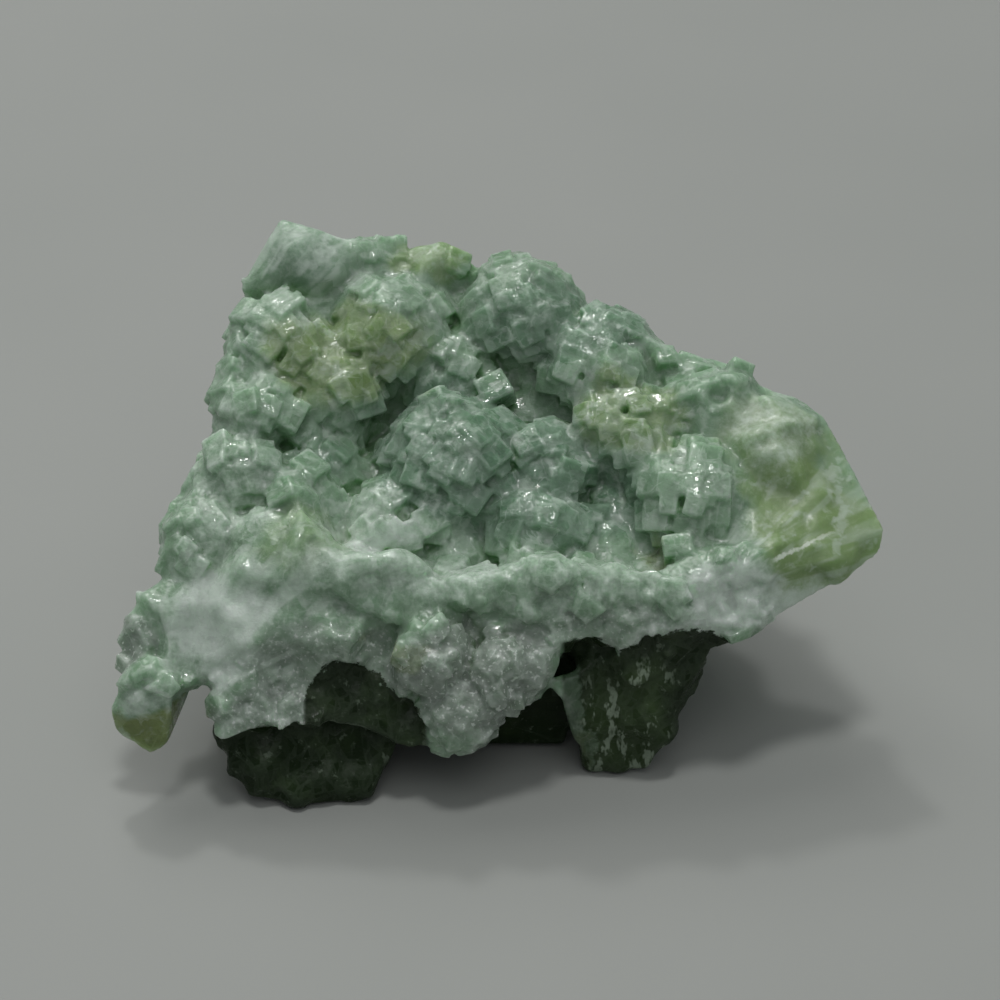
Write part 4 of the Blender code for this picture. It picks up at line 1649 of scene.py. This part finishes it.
        # Pale tiny faces and veins: the veins are the mineral's own, the tiny faces are bevelled edges painted pale
        # partly as frost and partly as painted highlight, kept off the painted crevice shade
        edge = self.layer(sheet, "sliver") * 0.15 + lines * broken * 0.22
        colour = sheet.mixed(colour, (0.70, 0.79, 0.71, 1.0), (edge * busy * (1 - deep * 0.8)).clamped())
        dots = sheet.ramped(sheet.noise(at, 3.2, 1.0), 0.62, 0.68) * self.layer(sheet, Mark.ASH.value) * 0.6
        colour = sheet.mixed(colour, (0.78, 0.83, 0.78, 1.0), dots)
        return sheet.mixed(colour, (0.78, 0.84, 0.76, 1.0), self.crack(sheet, at, fine) * 0.8)

    def dark_root_and_shade_share(self, sheet: ShaderSheet, at: object) -> Signal:
        """Where the dark root of the stone shows, with painted shade at the bottom, the back and under the ledges,
        from 0 to 1.
        """
        fine = sheet.noise(at, 1.6, 3.0, 0.65) - 0.5
        dark = sheet.ramped(self.layer(sheet, Mark.DARK.value) + fine * 0.7, 0.35, 0.65)
        for ledge, ragged in ((LIP, 0.5), (CRUST, 2.6), (RIGHT_RIM, 2.0)):
            dark = (dark + self.under(sheet, at, ledge, fine * ragged)).clamped()
        return dark * (0.98 - 0.28 * sheet.ramped(self.layer(sheet, Mark.FIN.value) + fine * 0.8, 0.3, 0.8))

    def dark_root_and_shade_colour(self, sheet: ShaderSheet, at: object) -> bpy.types.NodeSocket:
        """The dark root's colour: near-black green, partly painted shade, with hazy lighter parts, pale specks, fine
        scratches and a painted highlight along the lip's edge.
        """
        bent = self.warped(sheet, at)
        speck = self.layer(sheet, Mark.SPECK.value)
        haze = sheet.ramped(sheet.noise(bent, 0.35, 2.0, 0.6), 0.45, 0.8) * 0.25 + speck * 0.32
        root = sheet.mixed(Tone.DARK.rgba, (0.065, 0.105, 0.04, 1.0), haze)
        tall = sheet.node("ShaderNodeMapping", None, {"Vector": at, "Scale": (1.0, 1.0, 0.45)}).outputs[0]
        specks = sheet.ramped(sheet.noise(tall, 0.8, 3.0, 0.65), 0.55, 0.62) * speck
        # Fine scratches, and tiny bevelled faces a little paler, partly frost and partly painted highlight
        scratch = sheet.ramped(sheet.noise(at, 1.1, 3.0, 0.7), 0.61, 0.72) * 0.3 + self.layer(sheet, "sliver") * 0.1
        fine = sheet.noise(at, 1.6, 3.0, 0.65) - 0.5
        # Painted highlight: a pale band along the lip's edge, where the lip catches light
        lip_edge_highlight = self.under(sheet, at, LIP, fine * 0.5 + 0.35) - self.under(sheet, at, LIP, fine * 0.5)
        return sheet.mixed(root, (0.26, 0.32, 0.24, 1.0), (scratch + specks * 0.75 + lip_edge_highlight * 0.35).clamped())

    def material(self) -> bpy.types.Material:
        """Builds the material.

        Returns:
            The material, with its varying values on Base Color, Roughness, Normal and the Mix Shader's factor.
        """
        sheet = ShaderSheet("prehnite")
        place = sheet.node("ShaderNodeTexCoord").outputs["Object"]
        at = self.scaled(sheet, place, 1 / MM)
        own, slope = self.facets(sheet, at, 1.2)
        sheet.feed(sheet.shader.inputs["Base Color"], self.colour(sheet, at, own))
        haze = sheet.noise(at, 0.9, 2.0)
        calm = self.layer(sheet, Mark.CALM.value)
        glint = sheet.ramped(own + self.layer(sheet, "gloss") * 0.5, 0.55, 0.6) * (1 - calm)
        rough = 0.3 + 0.2 * sheet.ramped(haze, 0.4, 0.65) + 0.1 * self.layer(sheet, Mark.FROST_AND_PAINTED_LIGHT.value) - 0.26 * glint
        sheet.feed(sheet.shader.inputs["Roughness"], rough)
        flat = 1 - 0.6 * calm
        grain = sheet.noise(at, 2.0, 2.0, 0.6)
        stretched = sheet.node("ShaderNodeMapping", None, {"Vector": at, "Scale": (0.5, 0.5, 5.0)})
        lines = sheet.noise(stretched.outputs[0], 1.6, 1.0)
        height = (grain + lines * 0.4) * flat + (own * 0.35 + slope * 3.5) * (1 - 0.8 * calm)
        relief = sheet.node("ShaderNodeBump", None, {"Strength": 0.5, "Distance": 0.12 * MM, "Height": height})
        sheet.feed(sheet.shader.inputs["Normal"], relief.outputs[0])
        for name, value in (
            ("IOR", self.refraction), ("Subsurface Weight", self.scatter_share), ("Subsurface Radius", self.scatter),
            ("Subsurface Scale", self.scatter_mm * MM), ("Specular IOR Level", 0.4),
        ):
            sheet.shader.inputs[name].default_value = value
        # A second, darker copy of the mineral with little specular for the dark root; on the underside and under the
        # ledges it is painted shade
        root = sheet.node("ShaderNodeBsdfPrincipled", None, {
            "Base Color": self.dark_root_and_shade_colour(sheet, at), "Roughness": 0.12 + 0.4 * sheet.ramped(haze, 0.4, 0.65),
            "Normal": relief.outputs[0], "IOR": self.refraction, "Specular IOR Level": 0.07,
        })
        both = {0: self.dark_root_and_shade_share(sheet, at), 1: sheet.shader.outputs[0], 2: root.outputs[0]}
        mixed = sheet.node("ShaderNodeMixShader", None, both)
        sheet.feed(sheet.tree.nodes["Material Output"].inputs["Surface"], mixed.outputs[0])
        return sheet.material


@dataclass
class Studio:
    """The pale floor, the soft lights and the camera."""

    target: tuple[float, float, float] = (0.0, 0.0, 15.0)
    distance: float = 216.7
    elevation: float = 35.0
    lens: float = 100.0
    sensor: float = 36.0
    floor_half: float = 1.2

    def floor(self) -> None:
        """Lays the plain floor that the stone stands on."""
        bm = bmesh.new()
        bmesh.ops.create_grid(bm, x_segments=1, y_segments=1, size=self.floor_half)
        obj = new_object("floor", bm)
        sheet = ShaderSheet("floor")
        place = sheet.node("ShaderNodeTexCoord").outputs["Object"]
        at = sheet.node("ShaderNodeVectorMath", {"operation": "SCALE"}, {0: place, "Scale": 1 / MM}).outputs[0]
        tone = sheet.mixed((0.31, 0.325, 0.305, 1.0), (0.35, 0.36, 0.34, 1.0), sheet.noise(at, 0.02, 2.0))
        sheet.feed(sheet.shader.inputs["Base Color"], tone)
        sheet.shader.inputs["Roughness"].default_value = 0.6
        obj.data.materials.append(sheet.material)
        obj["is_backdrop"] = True

    def lamp(self, name: str, place: tuple[float, float, float], size: float, watts: float, tone: tuple) -> None:
        """Hangs a square soft light, in metres, that faces the stone."""
        data = bpy.data.lights.new(name, "AREA")
        data.shape = "SQUARE"
        data.size = size
        data.energy = watts
        data.color = tone
        obj = bpy.data.objects.new(name, data)
        obj.location = place
        aim = Vector(self.target) * MM - obj.location
        obj.rotation_euler = aim.to_track_quat("-Z", "Y").to_euler()
        bpy.context.scene.collection.objects.link(obj)

    def lights(self) -> None:
        """Sets the sky and the lamps."""
        world = bpy.data.worlds.new("sky")
        world.use_nodes = True
        sky = world.node_tree.nodes["Background"]
        sky.inputs["Color"].default_value = (0.92, 0.96, 1.0, 1.0)
        sky.inputs["Strength"].default_value = 0.185
        bpy.context.scene.world = world
        self.lamp("window", (-0.25, 0.5, 0.75), 0.6, 2.3, (1.0, 0.99, 0.97))
        self.lamp("ceiling", (0.1, -0.1, 0.9), 0.9, 0.5, (0.98, 1.0, 1.0))
        self.lamp("room", (0.1, -0.4, 0.75), 0.6, 0.7, (0.99, 1.0, 1.0))
        self.lamp("glint", (0.02, 0.03, 0.9), 0.13, 1.9, (1.0, 1.0, 1.0))
        self.lamp("spark", (-0.12, 0.45, 0.6), 0.06, 0.7, (1.0, 1.0, 1.0))

    def camera(self) -> None:
        """Puts the camera at the photograph's viewing angle."""
        data = bpy.data.cameras.new("camera")
        data.lens = self.lens
        data.sensor_width = self.sensor
        data.clip_start = 0.01
        obj = bpy.data.objects.new("camera", data)
        aim = (Vector(self.target) + CENTRING) * MM
        rise = math.radians(self.elevation)
        back = Vector((0.0, -math.cos(rise), math.sin(rise)))
        obj.location = aim + back * self.distance * MM
        obj.rotation_euler = (-back).to_track_quat("-Z", "Y").to_euler()
        bpy.context.scene.collection.objects.link(obj)
        bpy.context.scene.camera = obj

    def build(self) -> None:
        """Sets up the whole studio."""
        self.floor()
        self.lights()
        self.camera()
        bpy.context.scene.view_settings.view_transform = "Standard"


def write_sizes(before: object) -> None:
    """Works out the solid's box and the dressed part's box as plain lists of numbers; they are not written anywhere.
    """
    boxes = {"cad": before, "visual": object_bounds()}
    plain = {name: [[float(value) for value in corner] for corner in box] for name, box in boxes.items()}


def main() -> None:
    """Builds the stone, grows its crystals and sets the studio."""
    logging.basicConfig(level=logging.INFO, format="%(name)s: %(message)s")
    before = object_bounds()
    finish = PrehniteFinish().material()
    stone = BrokenStone().build()
    coat = CrystalCoat()
    piece = coat.grown(stone, finish)
    SkinMarks().apply(piece, coat.spots)
    piece.name = "prehnite_stone"
    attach(piece, BODY)
    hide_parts(NODE)
    LOG.info("piece %s: %d triangles", piece.name, sum(len(face.vertices) - 2 for face in piece.data.polygons))
    Studio().build()
    write_sizes(before)


if __name__ == "__main__":
    main()
